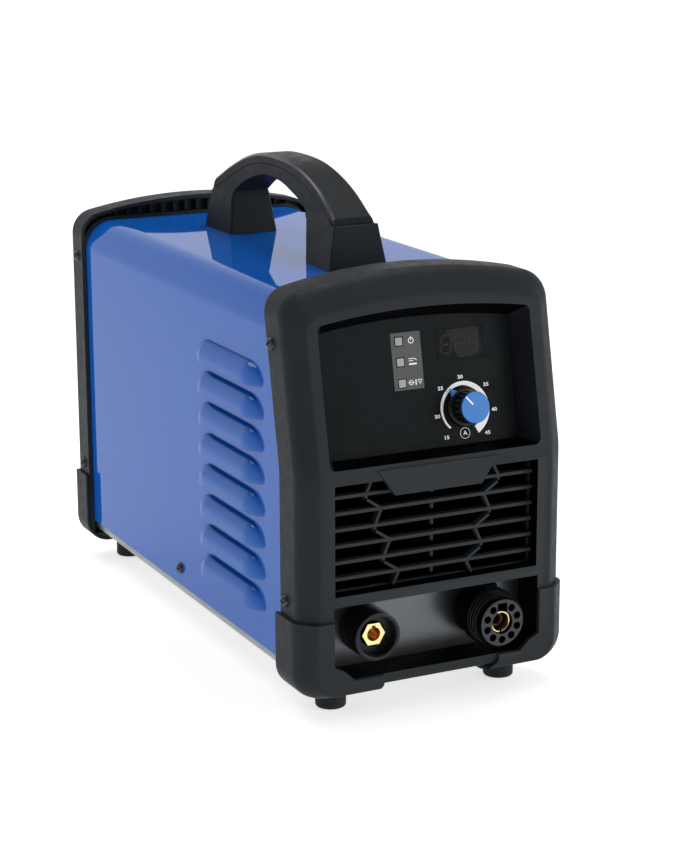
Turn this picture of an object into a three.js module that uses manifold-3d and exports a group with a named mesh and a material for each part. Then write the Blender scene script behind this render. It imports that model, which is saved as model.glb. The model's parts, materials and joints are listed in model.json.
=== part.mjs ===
// Inverter plasma cutter unit: a leaning moulded front, a louvred sheet metal cover on a base tray,
// a matching rear frame, corner bumpers, a carrying handle and the main assemblies inside.
// Millimetres. +X is the right-hand side seen from the front, +Y runs to the rear, +Z is up.
// The floor is z = 0 and the origin lies under the middle of the whole unit.
import * as THREE from "three";
import { mergeVertices } from "three/addons/utils/BufferGeometryUtils.js";
import Module from "manifold-3d";

const wasm = await Module();
wasm.setup();

// ---------------------------------------------------------------- driving dimensions
const GAP = 0.3; // clearance between pieces that touch
const FAR = 1000; // longer than the whole unit, for cutting blocks

const HALF_WIDTH = 111; // of both moulded frames
const FRAME_BOTTOM = 20;
const FRAME_TOP = 327; // at the middle of the crown
const CROWN_RADIUS = 455;
const WALL = 3; // moulded plastic

const LEAN_START = 187; // the front is upright below this height and leans back above it
const LEAN_SLOPE = 0.207;
const LEAN_ANGLE = Math.atan(LEAN_SLOPE);

const BEZEL_DEPTH = 38.7;
const CHAMFER_DEPTH = 10.5;

const COVER_HALF = 107;
const COVER_TOP = 310;
const COVER_BOTTOM = 37.5;
const COVER_RADIUS = 25;
const SHEET = 1.5;
const COVER_FRONT = 34;
const COVER_REAR = 456;

const REAR_FRONT_EDGE = 448; // the rear frame's edge that faces the cover
const REAR_WEB = 460;
const REAR_END = 471;

const TORCH_FACE = -11; // the torch socket stands a little in front of the bezel
const BUMPER = 3; // the corner bumpers stand this proud of the frames
const BUMPER_TOP_FRONT = 78;
const BUMPER_TOP_REAR = 80.5;
const ORIGIN_Y = (TORCH_FACE + REAR_END + BUMPER) / 2;

const GROUND_X = -50;
const GROUND_Z = 61;
const TORCH_X = 49.5;
const TORCH_Z = 59.7;
const PLATE_FRONT = 28; // connector plate, at the back of the lower recess

const PANEL_DEPTH = 19.8; // control panel face below the leaning front face
const KNOB_X = 36.8;
const KNOB_UP = 37.75; // along the leaning face, from where the lean starts
const KNOB_TIP = 3.4; // depth of the knob's end face below the leaning front face

const HANDLE_BASE_HALF = 21.4; // at the cover
const HANDLE_TOP_HALF = 17; // at the ends of the grip
const HANDLE_TAPER_TOP = 346; // the legs narrow up to this height
const HANDLE_WAIST = 2.2; // how much slimmer each side is at the middle of the grip

const FAN_Z = 196;
const FAN_SIZE = 119;

// Side screws, one of each on both sides: [y, z, half width of the piece they clamp].
const SCREWS = {
  front_upper: [50, 278.7, HALF_WIDTH],
  front_lower: [30, 89.5, HALF_WIDTH],
  rear_upper: [459.5, 278.7, HALF_WIDTH],
  rear_lower: [459.5, 89.5, HALF_WIDTH],
  cover_lower: [243, 52, COVER_HALF],
};
const SCREW_HOLE = 1.7;

// ---------------------------------------------------------------- materials
const finish = (color, roughness, metalness = 0) =>
  new THREE.MeshStandardMaterial({ color, roughness, metalness });

const PAINT = {
  charcoal: () => finish(0x34383b, 0.55),
  black: () => finish(0x1b1d1f, 0.5),
  panel: () => finish(0x202426, 0.4),
  blue: () => finish(0x2f62b8, 0.25),
  knobBlue: () => finish(0x4280c8, 0.45),
  zinc: () => finish(0xb4b2aa, 0.4, 0.8),
  steel: () => finish(0x8c8f92, 0.35, 0.9),
  aluminium: () => finish(0xa9acb0, 0.4, 0.9),
  brass: () => finish(0xd9b24c, 0.25, 0.9),
  copper: () => finish(0xb36b3c, 0.4, 0.8),
  board: () => finish(0x1f5a3a, 0.6),
  window: () => finish(0x2a1f20, 0.15),
  lens: () => finish(0x6b6f70, 0.35),
  rubber: () => finish(0x222426, 0.85),
};

// ---------------------------------------------------------------- solids and booleans
function toSolid(geometry) {
  const bare = geometry.clone();
  bare.deleteAttribute("normal");
  bare.deleteAttribute("uv");
  const merged = mergeVertices(bare, 1e-4);
  return new wasm.Manifold(
    new wasm.Mesh({
      numProp: 3,
      vertProperties: merged.attributes.position.array,
      triVerts: new Uint32Array(merged.index.array),
    }),
  );
}

function toGeometry(solid) {
  const mesh = solid.getMesh();
  const geometry = new THREE.BufferGeometry();
  geometry.setAttribute("position", new THREE.BufferAttribute(mesh.vertProperties, 3));
  geometry.setIndex(new THREE.BufferAttribute(mesh.triVerts, 1));
  geometry.computeVertexNormals();
  return geometry;
}

const join = (...pieces) => toGeometry(pieces.map(toSolid).reduce((a, b) => a.add(b)));
const cut = (base, ...tools) =>
  toGeometry(tools.map(toSolid).reduce((a, b) => a.subtract(b), toSolid(base)));
const common = (a, b) => toGeometry(toSolid(a).intersect(toSolid(b)));

// ---------------------------------------------------------------- outlines
const points = (pairs) => pairs.map(([x, z]) => new THREE.Vector2(x, z));

// Points of an arc from angle a to angle b, both ends included, in degrees.
function arc(x, z, radius, a, b, steps) {
  return Array.from({ length: steps + 1 }, (_, i) => {
    const angle = THREE.MathUtils.degToRad(a + ((b - a) * i) / steps);
    return new THREE.Vector2(x + radius * Math.cos(angle), z + radius * Math.sin(angle));
  });
}

// A closed outline with rounded corners: each entry is [x, z, radius].
function rounded(corners, steps = 3) {
  const shape = [];
  corners.forEach(([x, z, radius = 0], i) => {
    const corner = new THREE.Vector2(x, z);
    if (!radius) {
      shape.push(corner);
      return;
    }
    const before = corners[(i + corners.length - 1) % corners.length];
    const after = corners[(i + 1) % corners.length];
    const toBefore = new THREE.Vector2(before[0] - x, before[1] - z).normalize();
    const toAfter = new THREE.Vector2(after[0] - x, after[1] - z).normalize();
    const half = Math.acos(THREE.MathUtils.clamp(toBefore.dot(toAfter), -1, 1)) / 2;
    const reach = radius / Math.tan(half);
    const start = corner.clone().addScaledVector(toBefore, reach);
    const end = corner.clone().addScaledVector(toAfter, reach);
    const bisector = toBefore.clone().add(toAfter).normalize();
    const centre = corner.clone().addScaledVector(bisector, radius / Math.sin(half));
    const from = start.clone().sub(centre).angle();
    let turn = end.clone().sub(centre).angle() - from;
    if (turn > Math.PI) turn -= 2 * Math.PI;
    if (turn < -Math.PI) turn += 2 * Math.PI;
    const degrees = THREE.MathUtils.radToDeg;
    shape.push(...arc(centre.x, centre.y, radius, degrees(from), degrees(from + turn), steps));
  });
  return shape;
}

const rectangle = (x0, z0, x1, z1) => points([[x0, z0], [x1, z0], [x1, z1], [x0, z1]]);

const roundedRectangle = (x0, z0, x1, z1, radius, steps = 3) =>
  rounded([[x0, z0, radius], [x1, z0, radius], [x1, z1, radius], [x0, z1, radius]], steps);

// The frames' outline: a flat bottom with round corners, upright sides and a crowned top.
function crowned({ half, bottom, top, crown, corner, bottomCorner }) {
  const crownZ = top - crown;
  const cornerX = half - corner;
  const cornerZ = crownZ + Math.sqrt((crown - corner) ** 2 - cornerX ** 2);
  const crownAngle = THREE.MathUtils.radToDeg(Math.atan2(cornerZ - crownZ, cornerX));
  const bottomX = half - bottomCorner;
  const bottomZ = bottom + bottomCorner;
  return [
    ...arc(-bottomX, bottomZ, bottomCorner, 180, 270, 5),
    ...arc(bottomX, bottomZ, bottomCorner, 270, 360, 5),
    ...arc(cornerX, cornerZ, corner, 0, crownAngle, 5),
    ...arc(0, crownZ, crown, crownAngle, 180 - crownAngle, 8).slice(1, -1),
    ...arc(-cornerX, cornerZ, corner, 180 - crownAngle, 180, 5),
  ];
}

// ---------------------------------------------------------------- prisms and lofts
const CROSS_TO_SIDE = new THREE.Matrix4().makeBasis(
  new THREE.Vector3(0, 1, 0),
  new THREE.Vector3(0, 0, 1),
  new THREE.Vector3(1, 0, 0),
);

const extrude = (outline, depth, holes = []) => {
  const shape = new THREE.Shape(outline);
  shape.holes = holes.map((hole) => new THREE.Path(hole));
  return new THREE.ExtrudeGeometry(shape, { depth, bevelEnabled: false, steps: 1 });
};

// An outline in (x, z), from y0 to y1.
const alongY = (outline, y0, y1, holes) =>
  extrude(outline, y1 - y0, holes).rotateX(Math.PI / 2).translate(0, y1, 0);

// An outline in (y, z), from x0 to x1.
const alongX = (outline, x0, x1, holes) =>
  extrude(outline, x1 - x0, holes).applyMatrix4(CROSS_TO_SIDE).translate(x0, 0, 0);

// An outline in (x, y), from z0 to z1.
const alongZ = (outline, z0, z1, holes) => extrude(outline, z1 - z0, holes).translate(0, 0, z0);

const block = (x0, x1, y0, y1, z0, z1) =>
  new THREE.BoxGeometry(x1 - x0, y1 - y0, z1 - z0)
    .translate((x0 + x1) / 2, (y0 + y1) / 2, (z0 + z1) / 2);

const disc = (x, z, radius, y0, y1, sides = 24) =>
  new THREE.CylinderGeometry(radius, radius, y1 - y0, sides)
    .translate(x, (y0 + y1) / 2, 0)
    .translate(0, 0, z);

const tube = (x, z, outer, inner, y0, y1, sides = 24) =>
  cut(disc(x, z, outer, y0, y1, sides), disc(x, z, inner, y0 - 1, y1 + 1, sides));

// A closed skin through outlines of equal point count, given as [y, outline], front to rear.
function loft(rings) {
  const count = rings[0][1].length;
  const position = rings.flatMap(([y, outline]) => outline.flatMap((p) => [p.x, y, p.y]));
  const index = [];
  for (let ring = 0; ring + 1 < rings.length; ring++) {
    for (let i = 0; i < count; i++) {
      const next = (i + 1) % count;
      const [a, b] = [ring * count + i, ring * count + next];
      const [c, d] = [a + count, b + count];
      index.push(a, c, b, b, c, d);
    }
  }
  const last = (rings.length - 1) * count;
  for (const [a, b, c] of THREE.ShapeUtils.triangulateShape(rings[0][1], []))
    index.push(a, b, c);
  for (const [a, b, c] of THREE.ShapeUtils.triangulateShape(rings.at(-1)[1], []))
    index.push(last + a, last + c, last + b);
  const geometry = new THREE.BufferGeometry();
  geometry.setAttribute("position", new THREE.Float32BufferAttribute(position, 3));
  geometry.setIndex(index);
  return geometry;
}

// Cuts the shank holes of the named screws through both sides of a piece.
const drilled = (geometry, ...names) =>
  cut(
    geometry,
    ...names.map((name) => {
      const [y, z] = SCREWS[name];
      return new THREE.CylinderGeometry(SCREW_HOLE, SCREW_HOLE, FAR, 8)
        .rotateZ(Math.PI / 2)
        .translate(0, y, z);
    }),
  );

// ---------------------------------------------------------------- the leaning upper front
// Slides everything above the lean's start rearwards in proportion to its height.
function leanBack(geometry) {
  const below = block(-FAR, FAR, -FAR, FAR, -FAR, LEAN_START);
  const above = block(-FAR, FAR, -FAR, FAR, LEAN_START, FAR);
  const upper = common(geometry, above);
  const position = upper.getAttribute("position");
  for (let i = 0; i < position.count; i++) {
    const rise = position.getZ(i) - LEAN_START;
    position.setY(i, position.getY(i) + LEAN_SLOPE * rise);
  }
  return join(common(geometry, below), upper);
}

// Pieces on the leaning face are drawn upright on a face at y = 0 whose foot is z = 0.
const LEAN_MATRIX = new THREE.Matrix4()
  .makeTranslation(0, 0, LEAN_START)
  .multiply(new THREE.Matrix4().makeRotationX(-LEAN_ANGLE));

const onLean = (geometry) => geometry.clone().applyMatrix4(LEAN_MATRIX);

// ---------------------------------------------------------------- front bezel
// The bezel's outer form, grown outwards by a margin, with its wide front chamfer.
function bezelForm(grow, rear) {
  const face = crowned({
    half: 97.5 + grow,
    bottom: FRAME_BOTTOM + 4 - grow,
    top: 309.5 + grow,
    crown: CROWN_RADIUS,
    corner: 13 + grow,
    bottomCorner: 13 + grow,
  });
  const body = frameOutline(grow);
  return loft([[-grow, face], [CHAMFER_DEPTH - 0.4 * grow, body], [rear, body]]);
}

function frameOutline(grow) {
  return crowned({
    half: HALF_WIDTH + grow,
    bottom: FRAME_BOTTOM - grow,
    top: FRAME_TOP + grow,
    crown: CROWN_RADIUS,
    corner: 20 + grow,
    bottomCorner: 18 + grow,
  });
}

// The control recess narrows towards the panel; the outline is on the leaning face.
function controlOutline(depth, grow = 0) {
  const draft = depth / 18;
  return crowned({
    half: 88 - 8 * draft + grow,
    bottom: 4.6 + 5.6 * draft - grow,
    top: 116 - 6.8 * draft + grow,
    crown: 560,
    corner: 5 + grow,
    bottomCorner: 5 + grow,
  });
}

function controlRecess(from, to, grow) {
  const foot = controlOutline(18, grow);
  return loft([[from, controlOutline(from, grow)], [18, foot], [to, foot]]);
}

const CONNECTOR_OUTLINE = rounded([
  [-86.5, 88.6], [-86.5, 43.5, 2], [-78, 39.2, 4], [-70, 31.6, 2],
  [70, 31.6, 2], [78, 39.2, 4], [86.5, 43.5, 2], [86.5, 88.6],
]);

const GRILLE = { half: 85, bottom: 96.5, top: 180.3 };
const VISOR_OUTLINE = points([[-50, 188], [-36.2, 168], [36.2, 168], [50, 188]]);

function frontBezel() {
  const shell = leanBack(cut(bezelForm(0, BEZEL_DEPTH), bezelForm(-WALL, BEZEL_DEPTH + 1)));
  const controlTub = onLean(controlRecess(1, PANEL_DEPTH - GAP, 2.5));
  const connectorTub = block(-89, 89, 1, PLATE_FRONT - GAP, 28.5, 91);
  const grilleRim = block(-87.5, 87.5, 1, 12, 94, 183);
  const visor = alongY(VISOR_OUTLINE, -0.8, 5);
  const grilleHole = block(-GRILLE.half, GRILLE.half, -5, 20, GRILLE.bottom, GRILLE.top);
  return join(
    cut(
      join(shell, controlTub, connectorTub, grilleRim),
      onLean(controlRecess(-3, 26, 0)),
      alongY(CONNECTOR_OUTLINE, -5, 32),
      grilleHole,
    ),
    visor,
  );
}

// ---------------------------------------------------------------- front grille
const BAR_COUNT = 6;
const BAR_PITCH = 12.4;
const BAR_TOP = 169.3;
const BAR_FRONT = 8;
const BAR_REAR = 14;

// A flat rib of a given thickness between two points of the grille's plane.
function rib([x0, z0], [x1, z1], thickness = 2) {
  const along = new THREE.Vector2(x1 - x0, z1 - z0).normalize().multiplyScalar(thickness / 2);
  const outline = points([
    [x0 - along.x + along.y, z0 - along.y - along.x],
    [x1 + along.x + along.y, z1 + along.y - along.x],
    [x1 + along.x - along.y, z1 + along.y + along.x],
    [x0 - along.x - along.y, z0 - along.y + along.x],
  ]);
  return alongY(outline, BAR_FRONT, BAR_REAR);
}

function frontGrille() {
  const pieces = [];
  for (let bar = 0; bar < BAR_COUNT; bar++) {
    const z = BAR_TOP - bar * BAR_PITCH;
    pieces.push(block(-GRILLE.half - 2, GRILLE.half + 2, BAR_FRONT, BAR_REAR, z - 1.4, z + 1.4));
    pieces.push(block(-0.9, 0.9, BAR_FRONT + 2, BAR_REAR, z - 6, z));
  }
  for (const side of [-1, 1]) {
    pieces.push(rib([side * 51, GRILLE.top], [side * 55.6, BAR_TOP]));
    for (let turn = 0; turn < 3; turn++) {
      const drop = 2 * BAR_PITCH * turn;
      const outer = side * (55.6 - 7.2 * turn);
      const inner = side * (43 - 7.4 * turn);
      const next = side * (turn < 2 ? 55.6 - 7.2 * (turn + 1) : 32.8);
      const nextZ = turn < 2 ? BAR_TOP - drop - 2 * BAR_PITCH : GRILLE.bottom;
      pieces.push(rib([outer, BAR_TOP - drop], [outer, BAR_TOP - drop - 4]));
      pieces.push(rib([outer, BAR_TOP - drop - 4], [inner, BAR_TOP - drop - BAR_PITCH]));
      pieces.push(rib([inner, BAR_TOP - drop - BAR_PITCH], [next, nextZ]));
    }
  }
  const opening = block(
    -GRILLE.half + GAP, GRILLE.half - GAP, 0, 12 + GAP, GRILLE.bottom + GAP, GRILLE.top - GAP,
  );
  const behind = block(-88, 88, 12 + GAP, 30, 93, 184);
  const frame = alongY(rectangle(-88, 93.5, 88, 183.5), 12 + GAP, BAR_REAR + 1, [
    rectangle(-84, 97.5, 84, 179.5),
  ]);
  return join(common(join(...pieces), join(opening, behind)), frame);
}

// ---------------------------------------------------------------- control panel pieces
// All are drawn upright and stand in the leaning group.
const LED_X = -13.7;
const LED_ROWS = { led_power: 91.7, led_air_pressure: 76.3, led_fault: 60.6 };
const LED_HALF = 3.2;
const DISPLAY = { x0: 16.9, x1: 57.1, z0: 73.8, z1: 97.8 };

function controlPanel() {
  const outline = controlOutline(18, 1.6);
  const holes = Object.values(LED_ROWS).map((z) =>
    rectangle(LED_X - LED_HALF, z - LED_HALF, LED_X + LED_HALF, z + LED_HALF),
  );
  holes.push(rectangle(DISPLAY.x0, DISPLAY.z0, DISPLAY.x1, DISPLAY.z1));
  holes.push(arc(KNOB_X, KNOB_UP, 5, 0, 345, 23));
  return alongY(outline, PANEL_DEPTH, PANEL_DEPTH + 2, holes);
}

const indicator = (z) =>
  block(
    LED_X - LED_HALF + GAP, LED_X + LED_HALF - GAP, PANEL_DEPTH - 0.1, PANEL_DEPTH + 6,
    z - LED_HALF + GAP, z + LED_HALF - GAP,
  );

const displayWindow = () =>
  block(
    DISPLAY.x0 + GAP, DISPLAY.x1 - GAP, PANEL_DEPTH, PANEL_DEPTH + 2,
    DISPLAY.z0 + GAP, DISPLAY.z1 - GAP,
  );

const displayModule = () =>
  block(DISPLAY.x0, DISPLAY.x1, PANEL_DEPTH + 2 + GAP, PANEL_DEPTH + 11, DISPLAY.z0, DISPLAY.z1);

const controlBoard = () => block(-62, 62, PANEL_DEPTH + 12, PANEL_DEPTH + 13.6, 18, 104);

function potentiometer() {
  const body = disc(KNOB_X, KNOB_UP, 8.5, PANEL_DEPTH + 3, PANEL_DEPTH + 11.5, 16);
  const bush = disc(KNOB_X, KNOB_UP, 4.6, PANEL_DEPTH - 1.5, PANEL_DEPTH + 4, 16);
  return cut(join(body, bush), disc(KNOB_X, KNOB_UP, 3.4, PANEL_DEPTH - 2, PANEL_DEPTH + 8, 16));
}

// ---------------------------------------------------------------- current knob
// Drawn round its own axis, with y = 0 at its end face.
const KNOB_LENGTH = PANEL_DEPTH - KNOB_TIP - 0.6;
const KNOB_RADIUS = 12.3;
const SKIRT_RADIUS = 15.2;
const POINTER_TIP = 20; // the pointer stands a little out of the skirt
const POINTER_TURN = -41; // where it points at rest, clockwise from straight up
const KNOB_RIBS = 18;
const RIB_DEPTH = 1.2;

function knobBody() {
  const outline = Array.from({ length: KNOB_RIBS * 4 }, (_, i) => {
    const angle = (2 * Math.PI * i) / (KNOB_RIBS * 4);
    const radius = i % 4 < 2 ? KNOB_RADIUS : KNOB_RADIUS - RIB_DEPTH;
    return new THREE.Vector2(radius * Math.cos(angle), radius * Math.sin(angle));
  });
  const grip = alongY(outline, 2.4, KNOB_LENGTH - 1.5);
  const skirt = disc(0, 0, SKIRT_RADIUS, KNOB_LENGTH - 2, KNOB_LENGTH, 24);
  const pointer = alongY(
    points([[-4, 12], [4, 12], [0, POINTER_TIP]]), KNOB_LENGTH - 2.2, KNOB_LENGTH - 0.8,
  ).rotateY(THREE.MathUtils.degToRad(POINTER_TURN));
  const bore = disc(0, 0, 3.3, 6, KNOB_LENGTH + 1, 16);
  const bushRoom = disc(0, 0, 6, KNOB_LENGTH - 2.6, KNOB_LENGTH + 1, 16);
  return cut(join(grip, skirt, pointer), bore, bushRoom);
}

const knobCap = () => disc(0, 0, KNOB_RADIUS - 0.4, 0, 2.4 - GAP, 24);
const knobSpindle = () => disc(0, 0, 3, 6 + GAP, KNOB_LENGTH + 6, 12);

// ---------------------------------------------------------------- output sockets
const connectorPlate = () =>
  cut(
    block(-90, 90, PLATE_FRONT, PLATE_FRONT + 2, 28.5, 91.5),
    disc(GROUND_X, GROUND_Z, 6.4, 0, 60, 16),
    disc(TORCH_X, TORCH_Z, 9, 0, 60, 16),
  );

const GROUND_RADIUS = 18.7;
const GROUND_MOUTH_RADIUS = 15.4;
const GROUND_MOUTH_DEPTH = 9;
const HEX_ACROSS = 16.5;
const GROUND_BORE_RADIUS = 5.4;
const GROUND_BORE_END = 20;

function groundSocketBody() {
  const body = disc(GROUND_X, GROUND_Z, GROUND_RADIUS, 0, PLATE_FRONT - GAP, 28);
  const mouth = disc(GROUND_X, GROUND_Z, GROUND_MOUTH_RADIUS, -1, GROUND_MOUTH_DEPTH, 28);
  const seat = disc(GROUND_X, GROUND_Z, 10.2, 0, PLATE_FRONT + 1, 24);
  return cut(body, mouth, seat);
}

function groundSocketContact() {
  const corner = HEX_ACROSS / Math.sqrt(3);
  const hex = alongY(arc(GROUND_X, GROUND_Z, corner, 0, 300, 5), 7.2, 25);
  const stud = disc(GROUND_X, GROUND_Z, 6, 24, 46, 16);
  const bore = disc(GROUND_X, GROUND_Z, GROUND_BORE_RADIUS, 0, GROUND_BORE_END, 16);
  const keyway = block(
    GROUND_X - 1.6, GROUND_X + 1.6, 0, GROUND_BORE_END - 1, GROUND_Z + 3, GROUND_Z + 6.7,
  );
  return cut(join(hex, stud), bore, keyway);
}

const TORCH_RADIUS = 18.5;
const TORCH_THREAD_RADIUS = 20.6;
const TORCH_BORE_RADIUS = 8.8;
const PIN_CIRCLE = 13.4;
const PIN_RADIUS = 2.95;
const PIN_DEPTH = 14;
const PIN_COUNT = 10; // the top place is a keyway

function torchSocketBody() {
  const front = disc(TORCH_X, TORCH_Z, TORCH_RADIUS, TORCH_FACE, 0, 24);
  const thread = disc(TORCH_X, TORCH_Z, TORCH_THREAD_RADIUS, TORCH_FACE + 3, 7, 24);
  const flange = disc(TORCH_X, TORCH_Z, 22.4, 7, 11, 24);
  const barrel = disc(TORCH_X, TORCH_Z, 20, 10, PLATE_FRONT - GAP, 24);
  const key = block(TORCH_X - 5, TORCH_X + 5, 6, 11, TORCH_Z + 18, TORCH_Z + 25);
  const holes = [];
  for (let pin = 1; pin < PIN_COUNT; pin++) {
    const angle = (2 * Math.PI * pin) / PIN_COUNT;
    const x = TORCH_X + PIN_CIRCLE * Math.sin(angle);
    const z = TORCH_Z + PIN_CIRCLE * Math.cos(angle);
    holes.push(disc(x, z, PIN_RADIUS, TORCH_FACE - 1, TORCH_FACE + PIN_DEPTH, 8));
  }
  const bore = disc(TORCH_X, TORCH_Z, TORCH_BORE_RADIUS, TORCH_FACE - 1, PLATE_FRONT + 1, 24);
  const keyway = block(
    TORCH_X - 4.1, TORCH_X + 4.1, TORCH_FACE - 1, TORCH_FACE + PIN_DEPTH, TORCH_Z, TORCH_Z + 15.5,
  );
  return cut(join(front, thread, flange, barrel, key), ...holes, bore, keyway);
}

function torchSocketContact() {
  const ring = tube(TORCH_X, TORCH_Z, 8.5, 7, TORCH_FACE + 2.5, PLATE_FRONT + 12, 24);
  const slit = block(TORCH_X - 0.8, TORCH_X + 0.8, -FAR, 14, TORCH_Z - 10, TORCH_Z);
  return cut(ring, slit);
}

// ---------------------------------------------------------------- corner bumpers
// One L-shaped cap over a lower corner of a frame; side is -1 or 1. Its inner edge follows the
// connector recess. The left cap ends in a round corner, the right one in a swept toe.
function bumperOutline(side, top) {
  const toe =
    side < 0
      ? [[46, 31.3], [46, 20.8, 5], [52, 20.8], [60, 16.5], [60, 10]]
      : [[52, 31.3], [52, 26, 4], [43, 20.5, 4], [42, 10]];
  const outline = rounded(
    [
      ...toe, [130, 10], [130, top], [86.8, top],
      [86.8, 43.3, 2], [78.3, 39, 4], [70.3, 31.3, 2],
    ].map(([x, z, radius]) => [side * x, z, radius]),
  );
  return side < 0 ? outline.reverse() : outline;
}

function frontBumper(side) {
  const skin = cut(bezelForm(BUMPER, 42), bezelForm(GAP, 43));
  return common(skin, alongY(bumperOutline(side, BUMPER_TOP_FRONT), -10, 43));
}

function rearBumper(side) {
  const outer = alongY(frameOutline(BUMPER), REAR_FRONT_EDGE, REAR_END + BUMPER);
  const inner = alongY(frameOutline(GAP), REAR_FRONT_EDGE - 1, REAR_END + GAP);
  const corner = alongY(bumperOutline(side, BUMPER_TOP_REAR), REAR_FRONT_EDGE - 1, REAR_END + 10);
  return common(cut(outer, inner), corner);
}

// ---------------------------------------------------------------- sheet metal cover
function uProfile(half, top, bottom, radius, thickness) {
  const inner = half - thickness;
  const innerRadius = radius - thickness;
  return [
    new THREE.Vector2(-inner, bottom),
    new THREE.Vector2(-half, bottom),
    ...arc(-(half - radius), top - radius, radius, 180, 90, 6),
    ...arc(half - radius, top - radius, radius, 90, 0, 6),
    new THREE.Vector2(half, bottom),
    new THREE.Vector2(inner, bottom),
    ...arc(inner - innerRadius, top - thickness - innerRadius, innerRadius, 0, 90, 6),
    ...arc(-(inner - innerRadius), top - thickness - innerRadius, innerRadius, 90, 180, 6),
  ].reverse();
}

const LOUVRE_COUNT = 8;
const LOUVRE_PITCH = 24.9;
const LOUVRE_TOP = 257; // top edge of the highest louvre
const LOUVRE_HEIGHT = 17;
const LOUVRE_BULGE = 8;
const LOUVRE_Y0 = 75;
const LOUVRE_Y1 = 193;
const LOUVRE_END = 18; // length of each rounded end

// The hood of one louvre on the +X side: shut at its top edge, open below. The wedge reaches
// from inside the sheet to a skin that swells towards the bottom edge and dies at both ends.
function louvreWedge(inset, drop) {
  const steps = 2;
  const bottom = [];
  const place = (t) => LOUVRE_BULGE * Math.sqrt(1 - (1 - t) ** 2);
  for (let i = 0; i <= steps; i++)
    bottom.push([LOUVRE_Y0 + inset + (LOUVRE_END * i) / steps, place(i / steps)]);
  for (let i = steps; i >= 0; i--)
    bottom.push([LOUVRE_Y1 - inset - (LOUVRE_END * i) / steps, place(i / steps)]);
  const upper = bottom.map(([y]) => [
    THREE.MathUtils.clamp(y, LOUVRE_Y0 + LOUVRE_END, LOUVRE_Y1 - LOUVRE_END),
    0,
  ]);
  const inside = COVER_HALF - 4;
  const topZ = -inset;
  const bottomZ = -LOUVRE_HEIGHT - drop;
  const position = [];
  const add = (x, y, z) => position.push(x, y, z) / 3 - 1;
  const rows = [
    bottom.map(([y]) => add(inside, y, bottomZ)),
    bottom.map(([y, swell]) => add(COVER_HALF - inset + swell, y, bottomZ)),
    upper.map(([y], i) => add(COVER_HALF - inset, y + (i - 2.5) * 0.01, topZ)),
    upper.map(([y], i) => add(inside, y + (i - 2.5) * 0.01, topZ)),
  ];
  const index = [];
  rows.forEach((row, r) => {
    const next = rows[(r + 1) % rows.length];
    for (let i = 0; i + 1 < row.length; i++)
      index.push(row[i], row[i + 1], next[i], row[i + 1], next[i + 1], next[i]);
  });
  const [a, b, c, d] = rows.map((row) => row[0]);
  const [e, f, g, h] = rows.map((row) => row.at(-1));
  index.push(a, b, c, a, c, d, e, g, f, e, h, g);
  const geometry = new THREE.BufferGeometry();
  geometry.setAttribute("position", new THREE.Float32BufferAttribute(position, 3));
  geometry.setIndex(index);
  return geometry;
}

function coverShell() {
  const sheet = alongY(
    uProfile(COVER_HALF, COVER_TOP, COVER_BOTTOM, COVER_RADIUS, SHEET),
    COVER_FRONT,
    COVER_REAR,
  );
  const hoods = [];
  const hollows = [];
  for (const side of [0, Math.PI]) {
    for (let i = 0; i < LOUVRE_COUNT; i++) {
      const z = LOUVRE_TOP - i * LOUVRE_PITCH;
      const middle = (LOUVRE_Y0 + LOUVRE_Y1) / 2;
      const turned = (wedge) =>
        wedge.translate(0, -middle, 0).rotateZ(side).translate(0, middle, z);
      hoods.push(turned(louvreWedge(0, 0)));
      hollows.push(turned(louvreWedge(SHEET, 1)));
    }
  }
  // The hoods are drawn from inside the sheet, so what they leave inside it is cut away again.
  const inside = block(
    -COVER_HALF + SHEET, COVER_HALF - SHEET, LOUVRE_Y0 - 5, LOUVRE_Y1 + 5,
    LOUVRE_TOP - LOUVRE_COUNT * LOUVRE_PITCH, LOUVRE_TOP + 5,
  );
  return cut(join(sheet, ...hoods), ...hollows, inside);
}

// ---------------------------------------------------------------- base tray and feet
const TRAY_HALF = COVER_HALF - SHEET - GAP;
const TRAY_BOTTOM = 24.5;
const TRAY_FRONT = BEZEL_DEPTH + GAP;
const TRAY_REAR = REAR_FRONT_EDGE - GAP;

function baseTray() {
  const outline = rounded([
    [-TRAY_HALF, 62], [-TRAY_HALF, TRAY_BOTTOM, 12], [TRAY_HALF, TRAY_BOTTOM, 12], [TRAY_HALF, 62],
    [TRAY_HALF - SHEET, 62], [TRAY_HALF - SHEET, TRAY_BOTTOM + SHEET, 10.5],
    [-TRAY_HALF + SHEET, TRAY_BOTTOM + SHEET, 10.5], [-TRAY_HALF + SHEET, 62],
  ]);
  return alongY(outline, TRAY_FRONT, TRAY_REAR);
}

const FOOT_X = 72.7;
const FOOT_FRONT_Y = 33.8;
const FOOT_REAR_Y = 452;
const FOOT_HEIGHT = FRAME_BOTTOM - BUMPER - GAP;

// Drawn on its own axis: a short rubber cylinder with a chamfered sole.
const foot = () =>
  new THREE.LatheGeometry(
    points([[0, 0], [10.4, 0], [11.75, 1.6], [11.75, FOOT_HEIGHT], [0, FOOT_HEIGHT]]),
    20,
  ).rotateX(Math.PI / 2);

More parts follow.
